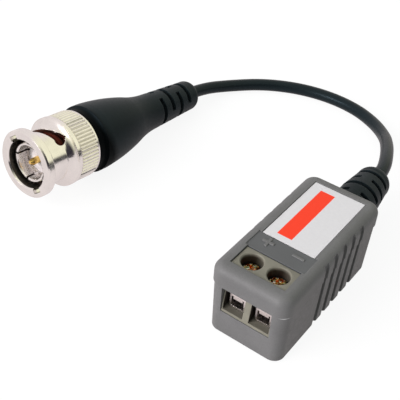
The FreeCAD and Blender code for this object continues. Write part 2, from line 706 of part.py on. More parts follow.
def make_terminal_block():
    """The terminal's housing: shoulder and tower, nose in the wire window, two clamp chambers, holes."""
    body = new_body("terminal_block")
    foot = new_sketch(body, z="board_top")
    rectangle(foot, "block_width", "block_depth", "0", "(block_front + block_back)/2")
    pad(body, foot, "block_shoulder - board_top")
    nose = new_sketch(body, "YZ_Plane")
    nose_low = "wire_window_floor + snug_gap"
    nose_high = "seam_height - 2*snug_gap"
    outline(nose, [
        ("block_front + snug_gap", nose_low),
        ("block_front + snug_gap", nose_high),
        ("nose_front + nose_lean", nose_high),
        ("nose_front", nose_low),
    ])
    lip = pad(body, nose, "wire_window_width - 2*snug_gap")
    lip.Midplane = True
    doc.recompute()
    tower = new_sketch(body, z="block_shoulder")
    rectangle(tower, "block_width", "top_window_depth - 2*loose_gap", "0", "screw_y")
    pad(body, tower, "block_top - block_shoulder")
    chambers = new_sketch(body, "XZ_Plane", z="-nose_front + 1")
    chamber_height = "chamber_ceiling - chamber_floor"
    for side in ("-1", "1"):
        chamber_z = f"(chamber_ceiling + chamber_floor)/2"
        rectangle(chambers, "chamber_width", chamber_height, f"{side}*pole_pitch/2", chamber_z)
    pocket(body, chambers, "block_front + chamber_depth - nose_front + 1")
    holes = new_sketch(body, z="block_top")
    for side in ("-1", "1"):
        circle(holes, "driver_radius", f"{side}*pole_pitch/2", "screw_y")
    pocket(body, holes, "block_top - chamber_ceiling + 0.5")
    def on_rim(middle):
        return abs(abs(middle.x) - size("pole_pitch/2")) < size("driver_radius") * 1.01
    rims = [name for name in edges_at_height(body.Shape, size("block_top"), on_rim)
            if body.Shape.Edges[int(name[4:]) - 1].Curve.TypeId == "Part::GeomCircle"]
    chamfer(body, rims, "snug_gap*4")
    slots = new_sketch(body, z="chamber_floor + 1")
    for side in ("-1", "1"):
        slot_x = f"{side}*pole_pitch/2"
        rectangle(slots, "bar_tail_width + 2*loose_gap", "bar_thickness + 2*loose_gap", slot_x, "pin_y")
    pocket(body, slots, "chamber_floor + 2 - board_top")


def make_clamp(name, side):
    """One pole of the terminal: rising cage, contact bar with its solder pin, and screw."""
    pole_x = side * size("pole_pitch") / 2
    cage = new_body(f"clamp_cage_{name}")
    section = new_sketch(cage, "XZ_Plane", z="-cage_front - cage_depth")
    rectangle(section, "cage_width", "cage_top - cage_bottom", "0", "(cage_top + cage_bottom)/2")
    pad(cage, section, "cage_depth")
    folds = [f"Edge{number}" for number, edge in enumerate(cage.Shape.Edges, start=1)
             if edge.BoundBox.YLength > size("cage_depth") - 1e-4]
    fillet(cage, folds, "cage_corner")
    mouth = new_sketch(cage, "XZ_Plane", z="-cage_front + 1")
    mouth_low = "cage_bottom + cage_sheet"
    mouth_high = "cage_top - cage_thread_plate"
    mouth_z = f"(({mouth_low}) + ({mouth_high}))/2"
    rectangle(mouth, "cage_width - 2*cage_sheet", f"({mouth_high}) - ({mouth_low})", "0", mouth_z)
    pocket(cage, mouth, "cage_depth + 2")
    thread = new_sketch(cage, z="cage_top + 1", y="screw_y")
    circle(thread, "screw_radius + thread_gap")
    pocket(cage, thread, "1 + cage_thread_plate + clamp_travel + loose_gap")
    cage.Placement.Base = Vector(pole_x, 0, 0)

    bar = new_body(f"contact_bar_{name}")
    strip = new_sketch(bar, z="bar_bottom")
    bar_length = "bar_rear - cage_front - 2*snug_gap"
    rectangle(strip, "bar_width", bar_length, "0", f"bar_rear - ({bar_length})/2")
    pad(bar, strip, "bar_thickness")
    pin = new_sketch(bar, z="board_bottom - bar_tail_drop")
    rectangle(pin, "bar_tail_width", "bar_thickness", "0", "pin_y")
    pad(bar, pin, "bar_bottom + bar_thickness/2 - board_bottom + bar_tail_drop")
    bar.Placement.Base = Vector(pole_x, 0, 0)

    head_top = "head_under + screw_head_height"
    screw = turned_body(f"clamp_screw_{name}", [
        ("0", "screw_tip"),
        ("screw_radius/2", "screw_tip"),
        ("screw_radius", "screw_tip + screw_radius/3"),
        ("screw_radius", "head_under"),
        ("screw_head_radius", "head_under"),
        ("screw_head_radius", f"{head_top} - snug_gap*4"),
        ("screw_head_radius - snug_gap*4", head_top),
        ("0", head_top),
    ])
    for angle, length in (("35", "2*screw_head_radius + 1"), ("125", "1.4*screw_head_radius")):
        slot = new_sketch(screw, z=head_top, turn=((0, 0, 1), angle))
        rectangle(slot, length, "driver_slot_width")
        pocket(screw, slot, "driver_slot_depth")
    screw.Placement.Base = Vector(pole_x, size("screw_y"), 0)


# Board and transformer

def make_circuit_board():
    """The board, with holes for the terminal's pins."""
    body = new_body("circuit_board")
    plate = new_sketch(body, z="board_bottom", y="(board_rear + board_front)/2")
    rounded_rectangle(plate, "cavity_width - 4*snug_gap", "board_rear - board_front", "cavity_corner")
    pad(body, plate, "board_thickness")
    holes = new_sketch(body, z="board_top")
    for side in ("-1", "1"):
        circle(holes, "bar_tail_width/2 + 2*loose_gap", f"{side}*pole_pitch/2", "pin_y")
    pocket(body, holes, "board_thickness + 1")


def make_transformer():
    """The toroid and its two windings, each a row of turns round the toroid's section."""
    middle = Vector(0, size("core_y"), size("core_z"))
    core = turned_body("ferrite_core", [
        ("core_bore", "0"),
        ("core_radius", "0"),
        ("core_radius", "core_height"),
        ("core_bore", "core_height"),
    ])
    core.Placement.Base = middle
    for name, first_angle in (("winding_line", 120), ("winding_coax", -60)):
        winding = new_body(name)
        turn = new_sketch(winding, "XZ_Plane", z="-winding_wire/2")
        inner_width = "core_radius - core_bore + 2*winding_gap"
        inner_height = "core_height + 2*winding_gap"
        turn_x = "(core_radius + core_bore)/2"
        rectangle(turn, f"{inner_width} + 2*winding_wire", f"{inner_height} + 2*winding_wire", turn_x, "core_height/2")
        rectangle(turn, inner_width, inner_height, turn_x, "core_height/2")
        loop = pad(winding, turn, "winding_wire")
        ring = new_sketch(winding)
        around(winding, [loop], ring, "winding_turns", "winding_spread*(winding_turns - 1)")
        start = first_angle - size("winding_spread*(winding_turns - 1)") / 2
        winding.Placement = FreeCAD.Placement(middle, FreeCAD.Rotation(Vector(0, 0, 1), start))


def make_chips():
    """Two chip parts on the board, ahead of the toroid."""
    for name, side in (("chip_capacitor", "-1"), ("chip_resistor", "1")):
        body = new_body(name)
        chip = new_sketch(body, z="board_top")
        rectangle(chip, "chip_length", "chip_width", f"{side}*chip_spread", "chip_y")
        pad(body, chip, "chip_height")


# Lead

def lean_placement(spot, axis):
    """A placement whose Z axis is a direction, with its X axis level and to the right."""
    level = axis.cross(Vector(0, 0, 1)).normalize()
    return FreeCAD.Placement(spot, FreeCAD.Rotation(level, Vector(0, 0, 0), axis, "ZXY"))


def slot_rings(body, first, pitch, width, rings, radius_at, roles=("XZ_Plane", "YZ_Plane")):
    """Rings of two slots each, every other ring turned by a quarter turn."""
    for parity, role in enumerate(roles):
        sketch = new_sketch(body, role)
        for ring in range(parity, int(size(rings)), 2):
            station = f"{first} + {ring}*{pitch}"
            floor_radius = f"{radius_at(station)} - slot_depth"
            outer = f"({floor_radius}) + 2*slot_depth"
            low = f"{station} - {width}/2"
            high = f"{station} + {width}/2"
            outline(sketch, [(floor_radius, low), (outer, low), (outer, high), (floor_radius, high)])
        before = body.Shape.Volume
        groove = body.newObject("PartDesign::Groove", "slots")
        groove.Profile = sketch
        groove.ReferenceAxis = (sketch, ["V_Axis"])
        groove.Midplane = True
        groove.setExpression("Angle", formula("slot_sweep"))
        doc.recompute()
        expect_less(body, before)
        base = new_sketch(body)
        around(body, [groove], base, "2")


def relief_axis():
    """The way that the strain relief points, and where it meets the case."""
    turn = math.radians(size("relief_turn"))
    axis = Vector(-math.sin(turn), math.cos(turn), 0)
    return Vector(0, size("back + snug_gap"), size("relief_height")), axis


def make_strain_relief():
    """The moulded relief: flange and neck square to the wall, and a slotted tail that leans a little."""
    root, axis = relief_axis()
    round_start = "relief_length - relief_round"
    lean_reach = "relief_root*sin(relief_turn)"
    body = turned_body("strain_relief", [
        ("0", lean_reach),
        ("relief_root", lean_reach),
        ("relief_root", "relief_taper_start"),
        ("relief_end", round_start),
        ("relief_tip", "relief_length", "relief_round"),
        ("0", "relief_length"),
    ])
    inner = new_sketch(body, "XZ_Plane", turn=((0, 0, 1), "-relief_turn"))
    wall_face = "-(back - cavity_length/2 + 2*snug_gap)"
    collar_top = f"2*{lean_reach} + 2*snug_gap"
    outline(inner, [
        ("0", f"{wall_face} - relief_flange_depth"),
        ("relief_flange", f"{wall_face} - relief_flange_depth"),
        ("relief_flange", wall_face),
        ("relief_neck", wall_face),
        ("relief_neck", "0"),
        ("relief_root + relief_collar", "0"),
        ("relief_root + relief_collar", collar_top),
        ("0", collar_top),
    ])
    revolve(body, inner)
    slope = "(relief_root - relief_end)/(relief_length - relief_round - relief_taper_start)"
    def radius_at(station):
        return f"(relief_root - max(0; ({station}) - relief_taper_start)*{slope})"
    roles = ("YZ_Plane", "XZ_Plane")
    slot_rings(body, "relief_slot_first", "relief_slot_pitch", "relief_slot_width", "relief_rings", radius_at, roles)
    bore = new_sketch(body, z="relief_length + 1")
    circle(bore, "cable_radius + mould_gap")
    pocket(body, bore, "relief_length + back - cavity_length/2 + relief_flange_depth + 3")
    body.Placement = lean_placement(root, axis)

    entry = new_body("cable_entry")
    section = new_sketch(entry, z="-entry_length")
    circle(section, "cable_radius")
    pad(entry, section, "entry_length + relief_length")
    entry.Placement = lean_placement(root, axis)


def tube(points, radius, report=None):
    """A round tube along straight runs that tangent arcs join, each as large as its runs allow."""
    edges = []
    start = points[0]
    length = 0
    for before, corner, after in zip(points, points[1:], points[2:]):
        into = (corner - before).normalize()
        out = (after - corner).normalize()
        half_turn = into.getAngle(out) / 2
        trim = 0.45 * min((corner - before).Length, (after - corner).Length)
        bend = trim / math.tan(half_turn)
        inward = (out - into).normalize()
        centre_way = bend / math.cos(half_turn)
        crown = corner + inward * (centre_way - bend)
        arc_start = corner - into * trim
        arc_end = corner + out * trim
        edges.append(Part.LineSegment(start, arc_start).toShape())
        edges.append(Part.Arc(arc_start, crown, arc_end).toShape())
        length += (arc_start - start).Length + 2 * half_turn * bend
        start = arc_end
        if report:
            print(f"{report}: bend radius {bend:.1f} mm at {corner.x:.1f}, {corner.y:.1f}")
    edges.append(Part.LineSegment(start, points[-1]).toShape())
    length += (points[-1] - start).Length
    path = Part.Wire(edges)
    mouth = Part.Wire(Part.makeCircle(radius, points[0], points[1] - points[0]))
    shape = path.makePipeShell([mouth], True, True)
    expected = math.pi * radius * radius * length
    if abs(shape.Volume / expected - 1) > 0.01:
        raise RuntimeError(f"a tube holds {shape.Volume:.1f} mm3 and should hold {expected:.1f}")
    if report:
        print(f"{report}: length {length:.1f} mm, volume {shape.Volume:.1f} mm3, expected {expected:.1f}")
    return shape


def make_board_wires():
    """The stripped end of the lead: centre conductor and twisted braid, each down to its solder pad."""
    root, axis = relief_axis()
    face = root - axis * size("entry_length + mould_gap")
    across = axis.cross(Vector(0, 0, 1))
    for name, radius, offset in (
        ("center_wire", "core_wire_radius", "0"),
        ("shield_wire", "braid_radius", "braid_radius + mould_gap*4 - cable_radius"),
    ):
        start = face + across * size(offset)
        ahead = start - axis * size("wire_reach/2")
        foot = start + across * size(f"({offset})/2") - axis * size("wire_reach")
        above = Vector(foot.x, foot.y, foot.z - size("braid_radius"))
        foot.z = size("board_top + pad_height")
        solid_piece(name, tube([start, ahead, above, foot], size(radius)))


def make_solder_joints():
    """Cones round the terminal's pins under the board, and pads under the lead's wires."""
    shapes = []
    pin_width = size("bar_tail_width")
    pin_thickness = size("bar_thickness")
    low = size("board_bottom - pad_height")
    for side in (-1, 1):
        x = side * size("pole_pitch/2")
        y = size("pin_y")
        cone = Part.makeCone(size("pad_top_radius"), size("pad_radius"), size("pad_height"), Vector(x, y, low))
        corner = Vector(x - pin_width / 2, y - pin_thickness / 2, low - 1)
        pin = Part.makeBox(pin_width, pin_thickness, size("pad_height") + 2, corner)
        shapes.append(cone.cut(pin))
    for wire in ("center_wire", "shield_wire"):
        foot = min(doc.getObject(wire).Shape.Faces, key=lambda face: face.CenterOfMass.z).CenterOfMass
        spot = Vector(foot.x, foot.y, size("board_top"))
        shapes.append(Part.makeCone(size("pad_radius"), size("pad_top_radius"), size("pad_height"), spot))
    solid_piece("solder_joints", Part.makeCompound(shapes))


# Plug, each piece along its own Z axis from the nut's front to the tail

def plug_line(turned_bodies):
    """Where the plug's axis starts, and its way to the tail.

    The plug lies with its widest part and its tail on the surface, so the axis slopes down.
    """
    points = []
    for body in turned_bodies:
        for edge in body.Group[0].Shape.Edges:
            points += [(point.x, point.z) for point in edge.discretize(16)]
    tail_radius = size("boot_tail")
    tail_station = size("boot_end - boot_round")
    ahead = [(radius, station) for radius, station in points if station < tail_station - 1]
    tilt = max(math.atan((radius - tail_radius) / (tail_station - station)) for radius, station in ahead)
    height = max(station * math.sin(tilt) + radius * math.cos(tilt) for radius, station in points)
    turn = math.radians(size("plug_turn"))
    axis = Vector(math.sin(turn) * math.cos(tilt), math.cos(turn) * math.cos(tilt), -math.sin(tilt))
    tail = axis * size("boot_end")
    front = Vector(size("plug_x") - tail.x, size("plug_y") - tail.y, height + size("mould_gap"))
    print(f"plug: tilt {math.degrees(tilt):.3f} degrees, front {front.x:.3f}, {front.y:.3f}, {front.z:.3f}")
    return front, axis


def make_coupling_nut():
    """The bayonet nut: front ring with keyways, helical slots through the neck, flared knurled grip."""
    body = turned_body("coupling_nut", [
        ("nut_bore + ring_chamfer", "0"),
        ("ring_radius - ring_chamfer", "0"),
        ("ring_radius", "ring_chamfer"),
        ("ring_radius", "ring_depth - ring_chamfer"),
        ("ring_radius - ring_chamfer", "ring_depth"),
        ("nut_neck", "ring_depth + ring_chamfer"),
        ("nut_neck", "nut_flare_start"),
        ("rim_radius", "nut_flare_end", "-1.5*(rim_radius - nut_neck)"),
        ("rim_radius", "knurl_start - knurl_groove"),
        ("grip_radius - knurl_depth", "knurl_start - knurl_groove"),
        ("grip_radius - knurl_depth", "knurl_start"),
        ("grip_radius", "knurl_start"),
        ("grip_radius", "knurl_end"),
        ("grip_radius - ring_chamfer/2", "knurl_end"),
        ("grip_radius - ring_chamfer/2", "nut_length - ring_chamfer"),
        ("grip_radius - 2*ring_chamfer", "nut_length"),
        ("nut_chamber", "nut_length"),
        ("nut_chamber", "lip_back"),
        ("washer_bore", "lip_back"),
        ("washer_bore", "nut_lip_front"),
        ("nut_bore", "nut_lip_front"),
        ("nut_bore", "ring_chamfer"),
    ])
    keyway = new_sketch(body)
    rectangle(keyway, "2*keyway_radius", "keyway_width")
    pocket(body, keyway, "slot_start + keyway_width/2", ahead=True)
    section = new_sketch(body, "XZ_Plane")
    rectangle(section, "rim_radius - nut_bore + 2*ring_chamfer", "keyway_width", "(rim_radius + nut_bore)/2", "slot_start")
    helix = body.newObject("PartDesign::SubtractiveHelix", "helical_slot")
    helix.Profile = section
    helix.ReferenceAxis = (section, ["V_Axis"])
    helix.Mode = 0
    helix.setExpression("Pitch", formula("slot_rise*360/slot_turn"))
    helix.setExpression("Height", formula("slot_rise"))
    doc.recompute()
    ring = new_sketch(body)
    around(body, [helix], ring, "2")
    detent = new_sketch(body, "XZ_Plane", turn=((0, 1, 0), "slot_turn - 90"))
    circle(detent, "detent_radius", "0", "slot_start + slot_rise - keyway_width/8")
    pocket_both_ways(body, detent, "2*grip_radius + 2")
    flute = new_sketch(body, z="knurl_start")
    flute_half = "knurl_depth*0.9"
    outer = "grip_radius + knurl_depth/2"
    outline(flute, [("grip_radius - knurl_depth", "0"), (outer, f"-({flute_half})*1.5"), (outer, f"({flute_half})*1.5")])
    cut = pocket(body, flute, "knurl_end - knurl_start", ahead=True)
    around(body, [cut], ring, "knurl_flutes")
    return body


def pocket_both_ways(body, sketch, length):
    """Cuts the sketch's outline to both sides of its plane."""
    before = body.Shape.Volume
    feature = body.newObject("PartDesign::Pocket", "detents")
    feature.Profile = sketch
    feature.Midplane = True
    feature.setExpression("Length", formula(length))
    doc.recompute()
    expect_less(body, before)


def make_plug_body():
    """The turned body: slit outer contact, gasket seat, barrel, collar, shank and crimp tail."""
    lead_in = "ring_chamfer/2"
    body = turned_body("plug_body", [
        ("sleeve_bore", f"sleeve_front + {lead_in}"),
        (f"sleeve_bore + {lead_in}", "sleeve_front"),
        (f"sleeve_radius - {lead_in}", "sleeve_front"),
        ("sleeve_radius", f"sleeve_front + {lead_in}"),
        ("sleeve_radius", "seat_front"),
        ("seat_radius", "seat_front"),
        ("seat_radius", "seat_back"),
        ("barrel_radius", "seat_back"),
        ("barrel_radius", "ring_front - mould_gap"),
        ("ring_groove", "ring_front - mould_gap"),
        ("ring_groove", "ring_front + ring_thickness + mould_gap"),
        ("barrel_radius", "ring_front + ring_thickness + mould_gap"),
        ("barrel_radius", "collar_front"),
        ("collar_radius", "collar_front"),
        ("collar_radius", "collar_front + collar_depth"),
        ("shank_radius", "collar_front + collar_depth"),
        ("shank_radius", "shank_end"),
        ("crimp_radius", "shank_end"),
        ("crimp_radius", "crimp_end"),
        ("cable_radius + mould_gap", "crimp_end"),
        ("cable_radius + mould_gap", "insulator_front + insulator_length"),
        ("insulator_radius + mould_gap", "insulator_front + insulator_length"),
        ("insulator_radius + mould_gap", "insulator_front - ring_chamfer"),
        ("sleeve_bore", "insulator_front - ring_chamfer"),
    ])
    slit = new_sketch(body, z="sleeve_front - 1")
    rectangle(slit, "2*sleeve_radius + 2", "sleeve_slit")
    cut = pocket(body, slit, "sleeve_slit_length + 1", ahead=True)
    ring = new_sketch(body)
    around(body, [cut], ring, "2", "90")
    return body


def make_insulator():
    """The insulator, with a raised nose round the pin."""
    return turned_body("insulator", [
        ("pin_radius + mould_gap", "insulator_front - nose_height"),
        ("insulator_nose", "insulator_front - nose_height"),
        ("insulator_nose", "insulator_front"),
        ("insulator_radius", "insulator_front"),
        ("insulator_radius", "insulator_front + insulator_length - mould_gap"),
        ("pin_radius + mould_gap", "insulator_front + insulator_length - mould_gap"),
    ])


def make_center_pin():
    """The centre pin, with a rounded nose."""
    return turned_body("center_pin", [
        ("0", "pin_front"),
        ("pin_radius/2", "pin_front"),
        ("pin_radius", "pin_front + pin_radius"),
        ("pin_radius", "pin_end"),
        ("0", "pin_end"),
    ])


def make_flat_ring(label, inner, outer, low, thickness):
    """A flat ring on the plug's axis."""
    high = f"{low} + {thickness}"
    return turned_body(label, [(inner, low), (outer, low), (outer, high), (inner, high)])


def make_wave_washer():
    """The spring between the gasket's seat and the thrust washer: a flat ring bent into waves."""
    waves = int(size("wave_count"))
    room = size("washer_front - seat_back - 2*mould_gap - wave_thickness")
    low = size("seat_back + mould_gap")
    rims = []
    for radius in (size("washer_bore"), size("seat_radius")):
        points = []
        for step in range(8 * waves):
            angle = 2 * math.pi * step / (8 * waves)
            height = low + room * (1 - math.cos(waves * angle)) / 2
            points.append(Vector(radius * math.cos(angle), radius * math.sin(angle), height))
        curve = Part.BSplineCurve()
        curve.interpolate(points, PeriodicFlag=True)
        rims.append(curve.toShape())
    sheet_face = Part.makeRuledSurface(rims[0], rims[1])
    return solid_piece("wave_washer", sheet_face.extrude(Vector(0, 0, size("wave_thickness"))))


def make_retaining_ring():
    """The open ring in the barrel's groove that keeps the nut on."""
    body = make_flat_ring("retaining_ring", "ring_groove + mould_gap", "ring_outer", "ring_front", "ring_thickness")
    opening = new_sketch(body, z="ring_front - 1", x="-ring_outer")
    rectangle(opening, "2*ring_outer - ring_groove", "ring_gap_width")
    pocket(body, opening, "ring_thickness + 2", ahead=True)
    return body


def make_plug_boot():
    """The moulded boot: neck, round shoulder, a curved taper and a slotted tail."""
    round_start = "boot_end - boot_round"
    body = turned_body("plug_boot", [
        ("collar_radius + mould_gap", "boot_front"),
        ("boot_neck_radius", "boot_front"),
        ("boot_neck_radius", "boot_neck_end"),
        ("boot_shoulder", "boot_neck_end + boot_step", "-boot_step*1.1"),
        ("boot_shoulder", "boot_shoulder_end"),
        ("boot_middle", "boot_middle_at", "boot_convex"),
        ("boot_waist", "boot_waist_at", "-boot_concave"),
        ("boot_tail", round_start),
        ("boot_tip", "boot_end", "boot_round"),
        ("cable_radius + mould_gap", "boot_end"),
        ("cable_radius + mould_gap", "crimp_end + 3*mould_gap"),
        ("crimp_radius + ferrule_wall + mould_gap", "crimp_end + 3*mould_gap"),
        ("crimp_radius + ferrule_wall + mould_gap", "shank_end + mould_gap"),
        ("shank_radius + mould_gap", "shank_end + mould_gap"),
        ("shank_radius + mould_gap", "collar_front + collar_depth + mould_gap"),
        ("collar_radius + mould_gap", "collar_front + collar_depth + mould_gap"),
    ])
    slope = "(boot_waist - boot_tail)/(boot_end - boot_round - boot_waist_at)"
    def radius_at(station):
        return f"(boot_waist - (({station}) - boot_waist_at)*{slope})"
    slot_rings(body, "boot_slot_first", "boot_slot_pitch", "boot_slot_width", "boot_rings", radius_at)
    return body


def make_cable_tail():
    """The end of the lead inside the boot, up to the centre pin."""
    body = new_body("cable_tail")
    section = new_sketch(body, z="pin_end + mould_gap")
    circle(section, "cable_radius")
    pad(body, section, "boot_end - pin_end - mould_gap")
    return body


def make_plug():
    """Every piece of the plug, laid on the surface. Returns the axis as it lies."""
    nut = make_coupling_nut()
    boot = make_plug_boot()
    gasket_front = "seat_front - gasket_depth - mould_gap"
    ferrule_front = "crimp_end - ferrule_length"
    ferrule_bore = "crimp_radius + mould_gap"
    ferrule_outer = "crimp_radius + ferrule_wall"
    pieces = [
        (nut, "nut_roll"),
        (boot, "boot_roll"),
        (make_plug_body(), "slit_roll"),
        (make_insulator(), "0"),
        (make_center_pin(), "0"),
        (make_flat_ring("gasket", "sleeve_radius + mould_gap", "seat_radius", gasket_front, "gasket_depth"), "0"),
        (make_wave_washer(), "0"),
        (make_flat_ring("thrust_washer", "washer_bore", "seat_radius", "washer_front", "washer_thickness"), "0"),
        (make_retaining_ring(), "0"),
        (make_flat_ring("crimp_ferrule", ferrule_bore, ferrule_outer, ferrule_front, "ferrule_length"), "0"),
        (make_cable_tail(), "0"),
    ]
    front, axis = plug_line([nut, boot])
    lie = lean_placement(front, axis)
    for piece, roll in pieces:
        rolled = FreeCAD.Rotation(Vector(0, 0, 1), size(roll))
        piece.Placement = lie.multiply(FreeCAD.Placement(Vector(0, 0, 0), rolled))
    return front, axis


def make_cable(front, plug_axis):
    """The free lead, from the strain relief's tip along the surface to the boot's tail."""
    root, axis = relief_axis()
    leave = root + axis * size("relief_length")
    arrive = front + plug_axis * size("boot_end")
    points = [leave, leave + axis * LEAD_FIRST_RUN]
    points += [Vector(*point) for point in LEAD_POINTS]
    points += [arrive + plug_axis * LEAD_LAST_RUN, arrive]
    for point in points:
        print(f"lead point {point.x:.2f}, {point.y:.2f}, {point.z:.2f}")
    solid_piece("cable", tube(points, size("cable_radius"), "cable"))


def check_and_export():
    """Stops on any failed object or shape, then writes one file per piece."""
    doc.recompute()
    for item in doc.Objects:
        if {"Invalid", "Error"} & set(item.State):
            raise RuntimeError(f"{item.Label} failed: {item.State}")
    pieces = [item for item in doc.Objects if item.isDerivedFrom("PartDesign::Body")]
    pieces += [item for item in doc.Objects if item.TypeId == "Part::Feature"]
    os.makedirs("parts", exist_ok=True)
    for piece in pieces:
        shape = piece.Shape
        if shape.isNull() or not shape.isValid() or not shape.Solids:
            raise RuntimeError(f"{piece.Label} has no sound shape")
        box = shape.optimalBoundingBox(True)
        print(f"{piece.Label}: {len(shape.Solids)} solids, {shape.Volume:.2f} mm3, z {box.ZMin:.3f} to {box.ZMax:.3f}")
        shape.exportStep(f"parts/{piece.Label}.step")


make_lower_base()
make_upper_cover()
make_label()
make_terminal_block()
make_clamp("plus", -1)
make_clamp("minus", 1)
make_circuit_board()
make_transformer()
make_chips()
make_strain_relief()
make_board_wires()
make_solder_joints()
plug_front, plug_axis = make_plug()
make_cable(plug_front, plug_axis)
check_and_export()
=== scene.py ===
"""Dresses the video balun: its lead, its moulded and metal finishes and its printed label.

The finished part is loaded as a fixed frame, in metres. +X is to the right, +Y runs from the screw
terminal to the lead and +Z is up. Each operator makes one piece or gives one group its finish.
"""
import json
import math

import bmesh
import bpy
from bpy.props import FloatProperty, FloatVectorProperty, IntProperty, PointerProperty
from mathutils import Matrix, Vector


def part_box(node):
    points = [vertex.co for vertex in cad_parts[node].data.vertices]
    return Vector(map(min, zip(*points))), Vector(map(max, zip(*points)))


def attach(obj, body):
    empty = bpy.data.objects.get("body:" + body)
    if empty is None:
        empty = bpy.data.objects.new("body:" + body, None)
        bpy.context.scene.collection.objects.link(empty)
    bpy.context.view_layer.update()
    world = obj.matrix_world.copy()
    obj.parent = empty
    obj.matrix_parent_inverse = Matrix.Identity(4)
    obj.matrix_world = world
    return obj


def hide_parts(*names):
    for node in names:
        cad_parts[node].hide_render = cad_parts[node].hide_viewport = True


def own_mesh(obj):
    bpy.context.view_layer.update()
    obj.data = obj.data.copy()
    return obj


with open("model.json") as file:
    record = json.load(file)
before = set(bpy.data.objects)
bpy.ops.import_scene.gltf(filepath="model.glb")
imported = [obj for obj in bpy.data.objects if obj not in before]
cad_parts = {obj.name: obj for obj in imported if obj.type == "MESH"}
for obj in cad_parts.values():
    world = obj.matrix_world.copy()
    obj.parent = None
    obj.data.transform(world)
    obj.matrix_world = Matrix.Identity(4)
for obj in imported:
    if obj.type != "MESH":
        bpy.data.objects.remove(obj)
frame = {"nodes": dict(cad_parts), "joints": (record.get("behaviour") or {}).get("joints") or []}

bl_info = {
    "name": "Video Balun Finishes",
    "version": (1, 0, 0),
    "blender": (4, 5, 0),
    "location": "3D View > Sidebar > Balun",
    "description": "Makes the lead, the label, the windings and the finishes of a video balun",
    "category": "Object",
}

# Control points of the lead, from the strain relief's tip to the boot's tail, in metres
LEAD_ROUTE = (
    (-0.00056, 0.03224, 0.00658),
    (-0.00069, 0.03584, 0.00658),
    (-0.00260, 0.04160, 0.00580),
    (-0.00520, 0.04770, 0.00435),
    (-0.00810, 0.05290, 0.00265),
    (-0.01280, 0.05750, 0.00165),
    (-0.01900, 0.06030, 0.00145),
    (-0.02660, 0.06080, 0.00145),
    (-0.03440, 0.05900, 0.00145),
    (-0.04150, 0.05500, 0.00145),
    (-0.04690, 0.04930, 0.00150),
    (-0.05054, 0.04180, 0.00261),
    (-0.05078, 0.03714, 0.00320),
)

# Control points of the braid's twisted tail, from the end of the lead to its solder pad
BRAID_ROUTE = (
    (-0.00087, 0.01190, 0.00658),
    (-0.00082, 0.01045, 0.00658),
    (-0.00128, 0.00900, 0.00628),
    (-0.00128, 0.00900, 0.00480),
)

# Copper tracks on the board: middle and size, in X and Y
BOARD_TRACKS = (
    ((-0.0030, -0.0020), (0.0008, 0.0110)),
    ((0.0030, -0.0020), (0.0008, 0.0110)),
    ((0.0, 0.0012), (0.0068, 0.0006)),
    ((0.0, 0.0100), (0.0030, 0.0014)),
    ((-0.0040, 0.0090), (0.0006, 0.0060)),
)

# The case: height of its seam, half its width and half its length, and the polarity strip on it,
# as middle and size in X and Y
SEAM_Z = 0.01075
HALF_WIDTH = 0.0075
HALF_LENGTH = 0.0161
STRIP = ((0.0, -0.00629), (0.01142, 0.00450))

# The terminal's two poles: how far from the middle line, how far along the case, and their holes'
# radius. Then the thickness of its solder pins
POLE = 0.00254
SCREW_Y = -0.01105
HOLE_RADIUS = 0.00190
PIN_THICKNESS = 0.0006

# The front of the terminal's nose: its foot's height and place, and its lean for a rise of one
NOSE_FOOT_Z = 0.0053
NOSE_Y = -0.01565
NOSE_LEAN = 0.15

# A soft step is given as its two ends. In the terminal's painted shade they are: the holes' wall,
# the side of a hole where the light reaches and the painted shade is lighter, the height under
# which painted shade fills a hole, just behind the nose's front, and the roof, the side wall and
# the floor of the clamp chambers, which painted shade fills
HOLE_WALL = (HOLE_RADIUS + 0.00006, HOLE_RADIUS + 0.00010)
HOLE_LIT_SIDE = (-0.0004, 0.0017)
HOLE_LIT_TOP = (0.0136, 0.0143)
NOSE_FRONT = (NOSE_Y + 0.00004, NOSE_Y + 0.00016)
CHAMBER_ROOF = (0.0118, 0.0121)
CHAMBER_WALL = (0.00196, 0.00198)
CHAMBER_FLOOR = (0.00577, 0.00600)

# Soft steps of the plug's painted shade along its axis, backwards from the point that the nut
# turns about: the back of the nut's ring, both ends of its knurl and of its bore's deep part, where
# the painted shade is red-brown, and the contact's rim
RING_BACK = (-0.0077, -0.0076)
KNURL_FRONT = (0.00066, 0.00072)
KNURL_BACK = (0.00488, 0.00494)
DEEP_FRONT = (-0.0062, -0.0050)
DEEP_BACK = (0.0002, 0.0006)
CONTACT_RIM = (-0.0068, -0.0064)

# Distances from the plug's axis for its painted shade: the nut's bore in its ring and behind it, a
# soft step across the bore's wall, and soft steps in the knurl's flutes and at the outer contact's
# two faces
BORE_RADII = (0.00490, 0.00538)
BORE_WALL = (-0.00004, 0.00002)
FLUTES = (0.00672, 0.00698)
CONTACT_OUTSIDE = (0.00398, 0.00403)
CONTACT_BORE = (0.00350, 0.00356)

# Painted shade on the boot's neck: two heights over the surface, how far along the plug's axis the
# painted shade reaches at each, and its soft edge
NECK_HEIGHTS = (0.002, 0.013)
NECK_REACHES = (0.0115, 0.0074)
NECK_EDGE = (-0.0006, 0.0012)

# Corners of the plug's spring's mesh within this distance are merged
MERGE_DISTANCE = 0.000001

# The stage: how far the floor lies under the object, the point that the lamps face, where they
# stand from it, and their colour
FLOOR_DROP = 0.00002
LAMP_AIM = Vector((-0.02, 0.0, 0.0))
LAMP_STAND = Vector((-0.26, -0.62, 0.33))
LAMP_COLOUR = (1.0, 0.95, 0.985)

WHITE = (1.0, 1.0, 1.0)


# Settings

def length_setting(name, description, default):
    """A length that a user can change, in metres."""
    return FloatProperty(
        name=name, description=description, default=default, min=0.0,
        subtype="DISTANCE", unit="LENGTH")


def place_setting(name, description, default):
    """A place along one axis that a user can change, in metres."""
    return FloatProperty(name=name, description=description, default=default, unit="LENGTH")


